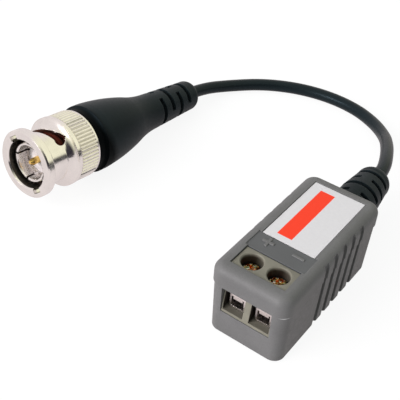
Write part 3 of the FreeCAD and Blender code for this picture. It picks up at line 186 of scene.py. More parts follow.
def angle_setting(name, description, degrees):
    """An angle that a user can change, given in degrees."""
    return FloatProperty(
        name=name, description=description, default=math.radians(degrees),
        subtype="ANGLE", unit="ROTATION")


def strength_setting(name, description, default):
    """A strength that a user can change."""
    return FloatProperty(name=name, description=description, default=default, min=0.0)


def colour_setting(name, description, default):
    """A colour that a user can change."""
    return FloatVectorProperty(
        name=name, description=description, default=default, size=3, min=0.0, max=1.0,
        subtype="COLOR")


class BalunView(bpy.types.PropertyGroup):
    """Where the picture is taken from, and the light."""

    turn: angle_setting("Turn", "Camera's turn round the object", 33.622)
    rise: angle_setting("Rise", "Camera's height above the horizon, as an angle", 39.317)
    roll: angle_setting("Roll", "Camera's roll about its own line of sight", 4.382)
    distance: length_setting("Distance", "From the camera to the point that it looks at", 0.165591)
    lens: FloatProperty(
        name="Lens", description="Focal length on a 36 mm sensor", default=73.574, min=1.0)
    look_at: FloatVectorProperty(
        name="Look At", description="Point on the surface that the camera looks at",
        default=(-0.027947, 0.010597, 0.0), size=3, subtype="TRANSLATION", unit="LENGTH")
    key_power: strength_setting("Key Power", "Power of the main lamp in watts", 6.0)
    glint_power: strength_setting("Glint Power", "Power of the gloss's own lamp in watts", 2.4)
    sky_strength: strength_setting("Sky Strength", "Light from all round", 0.66)


class BalunPlastic(bpy.types.PropertyGroup):
    """Colours of the moulded case and terminal."""

    case_colour: colour_setting("Case", "Grey of the case", (0.131, 0.131, 0.131))
    strip_colour: colour_setting(
        "Polarity Strip", "Smooth strip with the + and - marks", (0.078, 0.084, 0.089))
    terminal_colour: colour_setting(
        "Terminal", "Olive grey of the terminal block", (0.200, 0.191, 0.152))
    grain: length_setting("Grain", "Size of the case's moulded grain", 0.00022)
    strip_height: length_setting(
        "Strip Height", "Height under which the polarity strip is smooth", 0.0146)


class BalunLabel(bpy.types.PropertyGroup):
    """The printed label."""

    paper_colour: colour_setting("Paper", "White of the label", (0.710, 0.698, 0.710))
    field_colour: colour_setting("Field", "Red printed field", (0.94, 0.046, 0.012))
    field_width: length_setting("Field Width", "Red field, across the case", 0.00287)
    field_length: length_setting("Field Length", "Red field, along the case", 0.01484)
    field_x: place_setting("Field X", "Middle of the field, across the case", -0.00163)
    field_y: place_setting("Field Y", "Middle of the field, along the case", 0.00463)


class BalunMetal(bpy.types.PropertyGroup):
    """Colours of the plated pieces."""

    nickel_colour: colour_setting(
        "Nickel", "Plating of the nut and the plug's body", (0.95, 0.925, 0.88))
    cage_colour: colour_setting("Cage", "Plating of the clamp cages", (0.90, 0.84, 0.81))
    screw_colour: colour_setting(
        "Screw", "Yellow plating of the clamp screws", (0.95, 0.66, 0.20))
    gilt_colour: colour_setting("Gilt", "Plating of the centre pin", (0.95, 0.66, 0.20))


class BalunRubber(bpy.types.PropertyGroup):
    """The moulded rubber and the lead."""

    rubber_colour: colour_setting(
        "Rubber", "Strain relief, boot and lead", (0.0070, 0.0115, 0.0135))
    gasket_colour: colour_setting("Gasket", "Ring in the plug's bore", (0.085, 0.014, 0.006))
    lead_diameter: length_setting("Lead Diameter", "Coaxial lead", 0.0028)
    lead_length: length_setting(
        "Lead Length", "Free lead between the relief and the boot", 0.0804)
    sides: IntProperty(
        name="Sides", description="Facets round the lead", default=20, min=8, max=64)


# Materials

class Nodes:
    """A node tree under construction: short names for what all these trees use."""

    def __init__(self, tree):
        self.tree = tree

    def node(self, kind, links=None, **settings):
        """A new node, with its settings and what its inputs take."""
        node = self.tree.nodes.new(kind)
        for key, value in settings.items():
            setattr(node, key, value)
        for name, source in (links or {}).items():
            self.wire(source, node.inputs[name])
        return node

    def wire(self, source, target):
        """A link, or a constant where the source is a plain value."""
        if isinstance(source, bpy.types.NodeSocket):
            self.tree.links.new(source, target)
        else:
            target.default_value = source

    def calc(self, operation, first, second=0.0, third=0.0):
        """One sum on sockets or numbers."""
        links = dict(enumerate((first, second, third)))
        return self.node("ShaderNodeMath", links, operation=operation).outputs[0]

    def product(self, first, *others):
        """Sockets or numbers, all multiplied together."""
        for other in others:
            first = self.calc("MULTIPLY", first, other)
        return first

    def distance(self, first, second):
        """Distance that two offsets at right angles make together."""
        square = self.calc("MULTIPLY_ADD", first, first, self.product(second, second))
        return self.calc("SQRT", square)

    def between(self, value, low, high, new_low=0.0, new_high=1.0):
        """A value taken from one range to another, and kept inside it."""
        return self.node("ShaderNodeMapRange", {
            "Value": value, "From Min": low, "From Max": high,
            "To Min": new_low, "To Max": new_high,
        }).outputs["Result"]

    def rising(self, value, step):
        """0 before a soft step, and 1 after it."""
        return self.between(value, *step)

    def falling(self, value, step, before=1.0, after=0.0):
        """One value before a soft step, and a lower one after it."""
        return self.between(value, *step, before, after)

    def mix(self, factor, first, second):
        """A mix of two colours, on the node's colour sockets: 6 and 7 in, 2 out."""
        sources = {0: factor}
        for place, colour in ((6, first), (7, second)):
            is_socket = isinstance(colour, bpy.types.NodeSocket)
            sources[place] = colour if is_socket else (*colour, 1.0)
        return self.node("ShaderNodeMix", sources, data_type="RGBA").outputs[2]

    def blend(self, factor, first, second):
        """A shader node that mixes two others."""
        links = {0: factor, 1: first.outputs[0], 2: second.outputs[0]}
        return self.node("ShaderNodeMixShader", links)

    def split(self, vector):
        """The three parts of a position."""
        return self.node("ShaderNodeSeparateXYZ", {"Vector": vector}).outputs


class Finish(Nodes):
    """A material under construction."""

    def __init__(self, name, colour, roughness, metallic=0.0, specular=0.5):
        self.material = bpy.data.materials.new(name)
        self.material.use_nodes = True
        super().__init__(self.material.node_tree)
        self.shader = self.tree.nodes["Principled BSDF"]
        self.give("Base Color", (*colour, 1.0))
        self.give("Roughness", roughness)
        self.give("Metallic", metallic)
        self.give("Specular IOR Level", specular)
        self.material.diffuse_color = (*colour, 1.0)

    def give(self, name, source):
        """Gives one of the shader's inputs a socket or a plain value."""
        self.wire(source, self.shader.inputs[name])

    def place(self):
        """Positions in the object's own space, in metres."""
        return self.node("ShaderNodeTexCoord").outputs["Object"]

    def stretched(self, vector, scale):
        """Positions stretched by a factor for each axis."""
        return self.node("ShaderNodeMapping", {"Vector": vector, "Scale": scale}).outputs["Vector"]

    def noise(self, vector, size, detail=3.0, rough=0.55):
        """Noise whose features are about a size across, in metres."""
        return self.node("ShaderNodeTexNoise", {
            "Vector": vector, "Scale": 1.0 / size, "Detail": detail, "Roughness": rough,
        }).outputs["Fac"]

    def clouded(self, noise, colour, darker, lighter, low=0.35, high=0.65):
        """A colour that wanders with a noise between two shades of itself."""
        cloud = self.between(noise, low, high)
        return self.mix(cloud, shade(colour, darker), shade(colour, lighter))

    def soft_edges(self, radius):
        """Edges rounded by a radius in metres, for the light alone."""
        return self.node("ShaderNodeBevel", {"Radius": radius}, samples=6).outputs["Normal"]

    def worn_edges(self, radius, first=0.03, full=0.35):
        """A mask of the edges, from how far their rounded light leans away from the flat face."""
        flat = self.node("ShaderNodeNewGeometry").outputs["Normal"]
        normals = {0: self.soft_edges(radius), 1: flat}
        lean = self.node("ShaderNodeVectorMath", normals, operation="DOT_PRODUCT")
        return self.between(lean.outputs["Value"], 1.0 - first, 1.0 - full)

    def relief(self, height, depth, strength, edge):
        """Gives the shader a relief of a depth, with its edges rounded by a radius, in metres."""
        bump = self.node("ShaderNodeBump", {
            "Height": height, "Distance": depth, "Strength": strength,
            "Normal": self.soft_edges(edge),
        })
        self.give("Normal", bump.outputs["Normal"])


def shade(colour, factor):
    """A colour made lighter or darker."""
    return tuple(min(1.0, part * factor) for part in colour)


def box_mask(finish, place, middle, size, edge=0.00003):
    """1 inside an upright box of X and Y, and 0 outside it, with a narrow soft edge."""
    parts = finish.split(place)
    sides = []
    for axis in (0, 1):
        reach = finish.calc("ABSOLUTE", finish.calc("SUBTRACT", parts[axis], middle[axis]))
        half = size[axis] / 2
        sides.append(finish.falling(reach, (half - edge, half + edge)))
    return finish.product(*sides)


def seam_painted_highlight(finish, parts):
    """A mask of the painted highlight along the case's seam at its corners."""
    highlight_z, highlight_edge = SEAM_Z + 0.0001, (0.00010, 0.00015)
    corner_start, corner_full = 0.0016, 0.0008
    from_seam = finish.calc("ABSOLUTE", finish.calc("SUBTRACT", parts["Z"], highlight_z))
    corners = [
        finish.between(finish.calc("ABSOLUTE", parts[axis]), end - corner_start, end - corner_full)
        for axis, end in (("X", HALF_WIDTH), ("Y", HALF_LENGTH))]
    return finish.product(*corners, 0.8, finish.falling(from_seam, highlight_edge))


def case_finish(paint, strip=None):
    """Grey moulded plastic with a spark-eroded grain, smoother inside the polarity strip."""
    colour = paint.case_colour
    name = "case_grain_and_strip" if strip else "case_grain"
    finish = Finish(name, colour, 0.50, specular=0.40)
    place = finish.place()
    parts = finish.split(place)
    cloud = finish.noise(place, 0.006)
    speck = finish.noise(place, paint.grain, 2.0, 0.6)
    fine = finish.noise(place, paint.grain * 2.6, 3.0, 0.6)
    tone = finish.clouded(cloud, colour, 0.90, 1.07)
    tone = finish.mix(finish.between(speck, 0.30, 0.70, 0.0, 0.30), tone, shade(colour, 1.5))
    scuffs = finish.between(fine, 0.35, 0.65, 0.10, 0.45)
    rubbed = finish.product(finish.worn_edges(0.00030), scuffs)
    tone = finish.mix(rubbed, tone, shade(colour, 1.7))
    # painted highlight, pale grey, on the seam at the case's corners
    tone = finish.mix(seam_painted_highlight(finish, parts), tone, (0.80, 0.80, 0.80))
    height = finish.calc("MULTIPLY_ADD", speck, 0.6, fine)
    if strip:
        strip_top = (paint.strip_height - 0.00006, paint.strip_height)
        inside = finish.product(
            box_mask(finish, place, *strip), finish.falling(parts["Z"], strip_top))
        tone = finish.mix(inside, tone, finish.clouded(cloud, paint.strip_colour, 0.95, 1.05))
        height = finish.product(height, finish.between(inside, 0.0, 1.0, 1.0, 0.12))
        finish.give("Roughness", finish.between(inside, 0.0, 1.0, 0.53, 0.40))
    else:
        finish.give("Roughness", finish.between(fine, 0.3, 0.7, 0.46, 0.60))
    finish.give("Base Color", tone)
    finish.relief(height, depth=0.000018, strength=0.8, edge=0.00018)
    return finish.material


def plastic_finish(name, colour, roughness, grain, depth=0.00002, specular=0.5, painted_shade_mask=None):
    """Plain moulded plastic with a faint grain, and painted shade, nearly black, where a mask says.
    """
    finish = Finish(name, colour, roughness, specular=specular)
    place = finish.place()
    fine = finish.noise(place, grain)
    tone = finish.clouded(finish.noise(place, grain * 14), colour, 0.88, 1.12)
    # painted shade: the colour goes nearly black where the mask says
    if painted_shade_mask:
        tone = finish.mix(painted_shade_mask(finish, place), tone, (0.012, 0.008, 0.006))
    finish.give("Base Color", tone)
    finish.give("Roughness", finish.between(fine, 0.3, 0.7, roughness - 0.06, roughness + 0.06))
    finish.relief(fine, depth, strength=0.7, edge=0.00012)
    return finish.material


def terminal_painted_shade(finish, place):
    """Painted shade, nearly 1 down both screw holes and in both clamp chambers, 0 on the rest."""
    parts = finish.split(place)
    across = finish.calc("SUBTRACT", finish.calc("ABSOLUTE", parts["X"]), POLE)
    along = finish.calc("SUBTRACT", parts["Y"], SCREW_Y)
    middle = finish.product(finish.calc("SIGN", parts["X"]), POLE)
    off_middle = finish.calc("SUBTRACT", parts["X"], middle)
    # painted shade down the holes, lighter on the side that the light reaches and near the top
    hole = finish.product(
        finish.falling(finish.distance(across, along), HOLE_WALL),
        finish.falling(off_middle, HOLE_LIT_SIDE, 1.0, 0.45),
        finish.falling(parts["Z"], HOLE_LIT_TOP))
    # painted shade in the clamp chambers, behind the nose's front
    rise = finish.calc("SUBTRACT", parts["Z"], NOSE_FOOT_Z)
    chamber = finish.product(
        finish.rising(finish.calc("MULTIPLY_ADD", rise, -NOSE_LEAN, parts["Y"]), NOSE_FRONT),
        finish.falling(parts["Z"], CHAMBER_ROOF),
        finish.falling(finish.calc("ABSOLUTE", across), CHAMBER_WALL),
        finish.between(parts["Z"], *CHAMBER_FLOOR, 0.40, 1.0))
    return finish.product(finish.calc("MAXIMUM", hole, chamber), 0.97)


def screw_finish(metal):
    """Yellow passivated plating whose tone wanders to red and green-white, with painted glints and
    painted dark reflections.
    """
    red, green = (0.85, 0.14, 0.03), (0.60, 0.82, 0.45)
    # pale is the colour of the painted glints, brown that of the painted dark reflections
    pale, brown = (1.0, 0.98, 0.93), (0.05, 0.025, 0.012)
    finish = Finish("screw_plating", metal.screw_colour, 0.22, metallic=1.0)
    place = finish.place()
    hue = finish.noise(place, 0.00060, 2.0, 0.5)
    glint = finish.noise(place, 0.00045, 2.0, 0.6)
    tone = finish.mix(finish.between(hue, 0.42, 0.50), red, metal.screw_colour)
    tone = finish.mix(finish.between(hue, 0.56, 0.63), tone, green)
    # painted glints: near-white specks
    tone = finish.mix(finish.between(glint, 0.56, 0.61), tone, pale)
    # painted dark reflections: brown specks
    finish.give("Base Color", finish.mix(finish.between(glint, 0.42, 0.47, 0.92, 0.0), tone, brown))
    finish.give("Roughness", finish.between(hue, 0.35, 0.65, 0.24, 0.36))
    finish.relief(glint, depth=0.00012, strength=0.9, edge=0.0001)
    return finish.material


def rubber_finish(name, colour, specular=0.13, smoother=0.0, painted_shade_mask=None):
    """Green-black moulded rubber: satin, with a fine grain, paler scuffs and a bluish gloss, and
    painted shade where a mask says.
    """
    finish = Finish(name, colour, 0.46, specular=specular)
    finish.give("Specular Tint", (0.62, 0.86, 1.0, 1.0))
    finish.give("Sheen Weight", 0.06)
    finish.give("Sheen Roughness", 0.5)
    place = finish.place()
    fine = finish.noise(place, 0.00035, 4.0, 0.6)
    scuff = finish.noise(finish.stretched(place, (1.0, 0.4, 1.0)), 0.0016, 2.0)
    worn = finish.between(scuff, 0.64, 0.76, 0.0, 0.25)
    rubbed = finish.product(finish.worn_edges(0.00030), finish.between(fine, 0.35, 0.65, 0.2, 0.6))
    tone = finish.clouded(finish.noise(place, 0.009), colour, 0.85, 1.2)
    tone = finish.mix(finish.calc("MAXIMUM", worn, rubbed), tone, shade(colour, 2.2))
    # painted shade: darker and with less gloss where the mask says
    if painted_shade_mask:
        painted_shade_share = painted_shade_mask(finish, place)
        finish.give("Specular IOR Level", finish.between(painted_shade_share, 0.0, 1.0, specular, 0.012))
        tone = finish.mix(painted_shade_share, tone, shade(colour, 0.15))
    finish.give("Base Color", tone)
    finish.give("Roughness", finish.between(fine, 0.3, 0.7, 0.42 - smoother, 0.54 - smoother))
    finish.relief(fine, depth=0.00002, strength=0.8, edge=0.00015)
    return finish.material


def metal_finish(name, colour, roughness, edge=0.00010, mottle=0.12, plug_painted_shade=None):
    """Plated metal with faint mottling and hairline polishing marks, and rougher painted shade
    where a mask says.
    """
    finish = Finish(name, colour, roughness, metallic=1.0)
    place = finish.place()
    fine = finish.noise(place, 0.0005, 2.0)
    hair = finish.noise(finish.stretched(place, (1.0, 0.05, 1.0)), 0.0003, 2.0)
    tone = finish.clouded(finish.noise(place, 0.0025), colour, 1.0 - mottle, 1.04, 0.3, 0.7)
    marks = finish.calc("MULTIPLY_ADD", hair, 0.5, fine)
    rough = finish.between(marks, 0.5, 1.0, roughness - 0.03, roughness + 0.04)
    if plug_painted_shade:
        painted_shade_share, depth = plug_painted_shade(finish, place)
        # painted shade: grey near the plug's front, red-brown deeper in, and rougher
        grey, painted_shade_red_brown = (0.085, 0.077, 0.064), (0.080, 0.018, 0.006)
        tone = finish.mix(painted_shade_share, tone, finish.mix(depth, grey, painted_shade_red_brown))
        rough = finish.calc("MULTIPLY_ADD", painted_shade_share, 0.25, rough)
    finish.give("Base Color", tone)
    finish.give("Roughness", rough)
    finish.relief(marks, depth=0.0000015, strength=0.4, edge=edge)
    return finish.material


def plug_axis():
    """A point on the plug's axis, and the way forward along it."""
    turning = next(joint for joint in frame["joints"] if joint["name"] == "nut_turn")
    return Vector(turning["pos_m"]), Vector(turning["axis"])


def from_plug_axis(finish, place):
    """Distance from the plug's axis, and the way back along it from the axis's point."""
    spot, forward = plug_axis()
    turned = (-forward).to_track_quat("Z", "Y").to_euler()
    links = {"Vector": place, "Location": spot, "Rotation": turned}
    mapping = finish.node("ShaderNodeMapping", links, vector_type="TEXTURE")
    parts = finish.split(mapping.outputs["Vector"])
    return finish.distance(parts["X"], parts["Y"]), parts["Z"]


def nut_painted_shade(finish, place):
    """Painted shade on the nut, in its bore, slots and flutes, and how far that is from the light.
    """
    radius, along = from_plug_axis(finish, place)
    over_bore = finish.calc("SUBTRACT", radius, finish.between(along, *RING_BACK, *BORE_RADII))
    flutes = finish.product(
        finish.rising(along, KNURL_FRONT), finish.falling(along, KNURL_BACK),
        finish.falling(radius, FLUTES, 0.28))
    painted_shade_share = finish.calc("MAXIMUM", finish.falling(over_bore, BORE_WALL, 0.96), flutes)
    return painted_shade_share, finish.product(finish.rising(along, DEEP_FRONT), finish.falling(along, DEEP_BACK))


def sleeve_painted_shade(finish, place):
    """Painted shade on the outer contact behind its rim, outside and in its bore, and how deep."""
    radius, along = from_plug_axis(finish, place)
    outside = finish.between(radius, *CONTACT_OUTSIDE, 0.0, 0.96)
    wall = finish.calc("MAXIMUM", outside, finish.falling(radius, CONTACT_BORE, 0.38))
    painted_shade_share = finish.product(wall, finish.rising(along, CONTACT_RIM))
    return painted_shade_share, finish.rising(along, DEEP_FRONT)


def neck_painted_shade(finish, place):
    """Painted shade: 1 on the boot's neck behind the nut, further along its underside, and 0 on the
    rest.
    """
    along = from_plug_axis(finish, place)[1]
    reach = finish.between(finish.split(place)["Z"], *NECK_HEIGHTS, *NECK_REACHES)
    return finish.falling(finish.calc("SUBTRACT", along, reach), NECK_EDGE)


def paint_nodes(material, *names):
    """Gives CAD nodes a finish."""
    for name in names:
        mesh = frame["nodes"][name].data
        mesh.materials.clear()
        mesh.materials.append(material)


# Shapes

class Pattern(Nodes):
    """A Geometry Nodes tree under construction, with named inputs for its sizes."""

    def __init__(self, name, takes_shape=False):
        super().__init__(bpy.data.node_groups.new(name, "GeometryNodeTree"))
        self.values = {}
        for way in ("INPUT", "OUTPUT") if takes_shape else ("OUTPUT",):
            self.tree.interface.new_socket(
                "Geometry", in_out=way, socket_type="NodeSocketGeometry")
        self.inlet = self.tree.nodes.new("NodeGroupInput")
        self.outlet = self.tree.nodes.new("NodeGroupOutput")

    def size(self, name, value, kind="NodeSocketFloat"):
        """A named input, and the value that it gets."""
        socket = self.tree.interface.new_socket(name, in_out="INPUT", socket_type=kind)
        self.values[socket.identifier] = value
        return self.inlet.outputs[name]

    def step(self, kind, links=None, **settings):
        """What a new geometry node gives."""
        return self.node("GeometryNode" + kind, links, **settings).outputs[0]

    def vector(self, **parts):
        """A position from its parts."""
        return self.node("ShaderNodeCombineXYZ", parts).outputs[0]

    def result(self, name, geometry, material, shape=None):
        """Ends the tree, runs it once and gives its result as a plain mesh."""
        real = self.step("RealizeInstances", {"Geometry": geometry})
        smooth = self.step("SetShadeSmooth", {"Geometry": real})
        painted = self.step("SetMaterial", {"Geometry": smooth, "Material": material})
        self.wire(painted, self.outlet.inputs[0])
        holder = new_object(name + "_pattern", shape or bpy.data.meshes.new(name + "_pattern"))
        modifier = holder.modifiers.new("pattern", "NODES")
        modifier.node_group = self.tree
        for identifier, value in self.values.items():
            modifier[identifier] = value
        graph = bpy.context.evaluated_depsgraph_get()
        mesh = bpy.data.meshes.new_from_object(holder.evaluated_get(graph), depsgraph=graph)
        holder.modifiers.remove(modifier)
        bpy.data.objects.remove(holder)
        return new_object(name, mesh)


def line_shape(name, spots):
    """A mesh of points that edges join in a row."""
    mesh = bpy.data.meshes.new(name)
    edges = [(i, i + 1) for i in range(len(spots) - 1)]
    mesh.from_pydata([tuple(spot) for spot in spots], edges, [])
    return mesh


def winding(name, material, centre, middle_angle, board_top):
    """One continuous wire wound round the toroid's section, with its two ends on the board."""
    pattern = Pattern(name + "_turns")
    turns = pattern.size("Turns", 7.0)
    sweep = pattern.size("Sweep", math.radians(130.0))
    middle = pattern.size("Middle Angle", math.radians(middle_angle))
    ring = pattern.size("Ring Radius", 0.0026)
    half_width = pattern.size("Half Width", 0.00108)
    half_height = pattern.size("Half Height", 0.00188)
    wire_radius = pattern.size("Wire Radius", 0.00015)
    foot_drop = pattern.size("Foot Drop", centre[2] - board_top)
    foot_reach = pattern.size("Foot Reach", 0.0009)
    spot = pattern.size("Centre", tuple(centre), "NodeSocketVector")
    calc, product = pattern.calc, pattern.product
    # Points on the wire, what share of it each foot adds, the part of a turn left out, and the
    # roundness of its section: 0 for a rectangle, 1 for an ellipse
    steps, foot_share, unwound, roundness = 360, 0.02, 0.22, 0.2
    rail = pattern.step("MeshLine", {"Count": steps + 1})
    share = calc("DIVIDE", pattern.step("InputIndex"), steps)
    way = calc("SUBTRACT", product(share, 1 + 2 * foot_share), foot_share)
    before = calc("MAXIMUM", product(way, -1 / foot_share), 0.0)
    after = calc("MAXIMUM", product(calc("SUBTRACT", way, 1.0), 1 / foot_share), 0.0)
    inner = calc("MINIMUM", calc("MAXIMUM", way, 0.0), 1.0)
    round_section = product(inner, product(calc("SUBTRACT", turns, unwound), 2 * math.pi))

    def squared(wave):
        """A sine or cosine pushed towards a rectangle with rounded corners."""
        return product(calc("SIGN", wave), calc("POWER", calc("ABSOLUTE", wave), roundness))

    out = calc("MULTIPLY_ADD", squared(calc("COSINE", round_section)), half_width, ring)
    out = calc("MULTIPLY_ADD", after, foot_reach, out)
    height = product(squared(calc("SINE", round_section)), half_height)
    height = calc("SUBTRACT", height, product(before, foot_drop))
    angle = calc("MULTIPLY_ADD", calc("SUBTRACT", inner, 0.5), sweep, middle)
    local = pattern.vector(
        X=product(out, calc("COSINE", angle)), Y=product(out, calc("SINE", angle)), Z=height)
    placed = pattern.node("ShaderNodeVectorMath", {0: local, 1: spot}, operation="ADD")
    bent = pattern.step("SetPosition", {"Geometry": rail, "Position": placed.outputs[0]})
    curve = pattern.step("MeshToCurve", {"Mesh": bent})
    section = pattern.step("CurvePrimitiveCircle", {"Resolution": 8, "Radius": wire_radius})
    wire = pattern.step("CurveToMesh", {
        "Curve": curve, "Profile Curve": section, "Fill Caps": True,
    })
    return pattern.result(name, wire, material)


def braid(name, material, spots):
    """Seven twisted strands along a path: one in the middle and six round it."""
    pattern = Pattern(name + "_strands", takes_shape=True)
    strand = pattern.size("Strand Radius", 0.000105)
    twist = pattern.size("Twist", math.radians(1100.0))
    # The outer strands stand this many strand radii from the middle one
    spacing = 1.9
    curve = pattern.step("MeshToCurve", {"Mesh": pattern.inlet.outputs["Geometry"]})
    spline = pattern.step("CurveSplineType", {"Curve": curve}, spline_type="CATMULL_ROM")
    fine = pattern.step("ResampleCurve", {"Curve": spline, "Count": 60})
    tilt = pattern.product(pattern.step("SplineParameter"), twist)
    turned = pattern.step("SetCurveTilt", {"Curve": fine, "Tilt": tilt})
    places = pattern.node("GeometryNodeJoinGeometry")
    ring = pattern.step("MeshCircle", {"Vertices": 6, "Radius": pattern.product(strand, spacing)})
    pattern.wire(ring, places.inputs[0])
    pattern.wire(pattern.step("MeshLine", {"Count": 1}), places.inputs[0])
    circle = pattern.step("CurvePrimitiveCircle", {"Resolution": 8, "Radius": strand})
    strands = pattern.step("InstanceOnPoints", {"Points": places.outputs[0], "Instance": circle})
    section = pattern.step("RealizeInstances", {"Geometry": strands})
    rope = pattern.step("CurveToMesh", {
        "Curve": turned, "Profile Curve": section, "Fill Caps": True,
    })
    return pattern.result(name, rope, material, line_shape(name + "_path", spots))


def solder_fillets(name, material, spots, board_middle):
    """A hollow-sided cone of solder at each spot: upright on the board, hanging under it."""
    pattern = Pattern(name + "_fillets", takes_shape=True)
    foot = pattern.size("Foot Radius", 0.00092)
    tip = pattern.size("Tip Radius", 0.00050)
    height = pattern.size("Height", 0.00050)
    middle = pattern.size("Board Middle", board_middle)
    calc, hollowness = pattern.calc, 2.4
    rise = pattern.step("CurvePrimitiveLine", {"End": pattern.vector(Z=height)})
    fine = pattern.step("ResampleCurve", {"Curve": rise, "Count": 9})
    flare = calc("POWER", calc("SUBTRACT", 1.0, pattern.step("SplineParameter")), hollowness)
    radius = calc("MULTIPLY_ADD", flare, calc("SUBTRACT", foot, tip), tip)
    circle = pattern.step("CurvePrimitiveCircle", {"Resolution": 24, "Radius": 1.0})
    cone = pattern.step("CurveToMesh", {
        "Curve": fine, "Profile Curve": circle, "Scale": radius, "Fill Caps": True,
    })
    below = calc("LESS_THAN", pattern.split(pattern.step("InputPosition"))["Z"], middle)
    stood = pattern.step("InstanceOnPoints", {
        "Points": pattern.inlet.outputs["Geometry"], "Instance": cone,
        "Rotation": pattern.vector(X=pattern.product(below, math.pi)),
    })
    return pattern.result(name, stood, material, line_shape(name + "_spots", spots))


def wave_spring(material):
    """The wave washer as one mesh, its doubled corners merged, in place of its CAD node."""
    shape = bmesh.new()
    shape.from_mesh(frame["nodes"]["wave_washer"].data)
    bmesh.ops.remove_doubles(shape, verts=shape.verts, dist=MERGE_DISTANCE)
    mesh = bpy.data.meshes.new("wave_spring")
    shape.to_mesh(mesh)
    shape.free()
    spring = finished(new_object("wave_spring", mesh), material, "wave_washer")
    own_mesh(spring)


def finished(piece, material, node):
    """Settles a piece: its finish, the case's body and the node it replaces."""
    piece.data.materials.clear()
    piece.data.materials.append(material)
    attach(piece, "case")
    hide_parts(node)
    return piece


def new_object(name, data):
    """A new object at the origin."""
    made = bpy.data.objects.new(name, data)
    bpy.context.scene.collection.objects.link(made)
    return made


# Operators

class BALUN_OT_stage(bpy.types.Operator):
    """Make the camera, the pale surface and the soft light"""

    bl_idname = "balun.stage"
    bl_label = "Stage"

    def execute(self, context):
        view = context.scene.balun_view
        self.make_camera(context, view)
        self.make_floor()
        self.make_lamps(view)
        self.make_sky(context, view)
        context.scene.view_settings.view_transform = "Standard"
        return {"FINISHED"}

    def make_camera(self, context, view):
        """The camera, turned to face its point and rolled about its line of sight."""
        back = Vector((
            math.sin(view.turn) * math.cos(view.rise),
            -math.cos(view.turn) * math.cos(view.rise),
            math.sin(view.rise),
        ))
        level_right = Vector((0, 0, 1)).cross(back).normalized()
        level_up = back.cross(level_right)
        right = math.cos(view.roll) * level_right + math.sin(view.roll) * level_up
        up = back.cross(right)
        spot = Vector(view.look_at) + back * view.distance
        camera = new_object("camera", bpy.data.cameras.new("camera"))
        camera.data.sensor_width = 36.0
        camera.data.lens = view.lens
        camera.data.clip_start = 0.005
        camera.data.clip_end = 20.0
        facing = Matrix((right, up, back)).transposed().to_4x4()
        camera.matrix_world = Matrix.Translation(spot) @ facing
        context.scene.camera = camera

    def make_floor(self):
        """A wide pale surface that shows white to the camera and keeps the object's shadow."""
        mesh = bpy.data.meshes.new("floor")
        shape = bmesh.new()
        just_under = Matrix.Translation((0.0, 0.0, -FLOOR_DROP))
        bmesh.ops.create_grid(shape, x_segments=2, y_segments=2, size=3.0, matrix=just_under)
        shape.to_mesh(mesh)
        shape.free()
        floor = new_object("floor", mesh)
        material = bpy.data.materials.new("pale_surface")
        material.use_nodes = True
        paint = Nodes(material.node_tree)
        paint.tree.nodes.remove(paint.tree.nodes["Principled BSDF"])
        rays = paint.node("ShaderNodeLightPath").outputs
        to_camera = rays["Is Camera Ray"]
        paper = paint.node("ShaderNodeBsdfDiffuse", {"Color": (0.62, 0.62, 0.62, 1.0)})
        glow = paint.node("ShaderNodeEmission", {
            "Color": paint.mix(to_camera, (1.0, 0.90, 0.915), WHITE),
            "Strength": paint.between(to_camera, 0.0, 1.0, 0.80, 1.12),
        })
        seen = paint.calc("MAXIMUM", to_camera, rays["Is Glossy Ray"])
        mixed = paint.blend(paint.product(seen, 0.80), paper, glow)
        paint.wire(mixed.outputs[0], paint.tree.nodes["Material Output"].inputs["Surface"])
        mesh.materials.append(material)

    def make_lamps(self, view):
        """A broad lamp low at the front left, and a small one in its middle for the gloss alone."""
        lamps = (
            ("key_lamp", view.key_power, 0.45, "visible_glossy"),
            ("glint_lamp", view.glint_power, 0.14, "visible_diffuse"),
        )
        for name, power, size, unseen in lamps:
            lamp = bpy.data.lights.new(name, "AREA")
            lamp.energy = power
            lamp.size = size
            lamp.color = LAMP_COLOUR
            holder = new_object(name, lamp)
            holder.location = LAMP_AIM + LAMP_STAND
            facing = LAMP_AIM - holder.location
            holder.rotation_euler = facing.to_track_quat("-Z", "Y").to_euler()
            setattr(holder, unseen, False)

    def make_sky(self, context, view):
        """A soft sky, brighter at the left. The gloss sees it warm, with a dark band at the right.

        The band reaches up from below, high at the front and low at the back.
        """
        cream, pink, dark = (1.0, 0.975, 0.77), (1.0, 0.925, 0.93), (0.035, 0.030, 0.040)
        world = bpy.data.worlds.new("studio")
        context.scene.world = world
        world.use_nodes = True
        sky = Nodes(world.node_tree)
        sky.tree.nodes.remove(sky.tree.nodes["Background"])
        way = sky.split(sky.node("ShaderNodeTexCoord").outputs["Generated"])
        rays = sky.node("ShaderNodeLightPath").outputs
        from_left = sky.between(way["X"], -0.8, 0.8, 1.3, 0.68)
        soft = sky.node("ShaderNodeBackground", {
            "Color": (0.96, 1.0, 0.97, 1.0), "Strength": sky.product(from_left, view.sky_strength),
        })
        band_top = sky.between(way["Y"], -0.4, 0.3, 0.75, 0.14)
        over_band = sky.calc("SUBTRACT", way["Z"], band_top)
        band = sky.product(sky.falling(over_band, (-0.05, 0.05)), sky.rising(way["X"], (0.0, 0.40)))
        warm = sky.mix(sky.between(way["X"], -0.50, 0.0), pink, cream)
        gloss = sky.node("ShaderNodeBackground", {
            "Color": sky.mix(band, warm, dark),
            "Strength": sky.between(way["X"], -0.6, 0.8, 0.80, 0.92),
        })
        white = sky.node("ShaderNodeBackground", {"Color": (*WHITE, 1.0)})
        lit = sky.blend(rays["Is Glossy Ray"], soft, gloss)
        mixed = sky.blend(rays["Is Camera Ray"], lit, white)
        sky.wire(mixed.outputs[0], sky.tree.nodes["World Output"].inputs["Surface"])


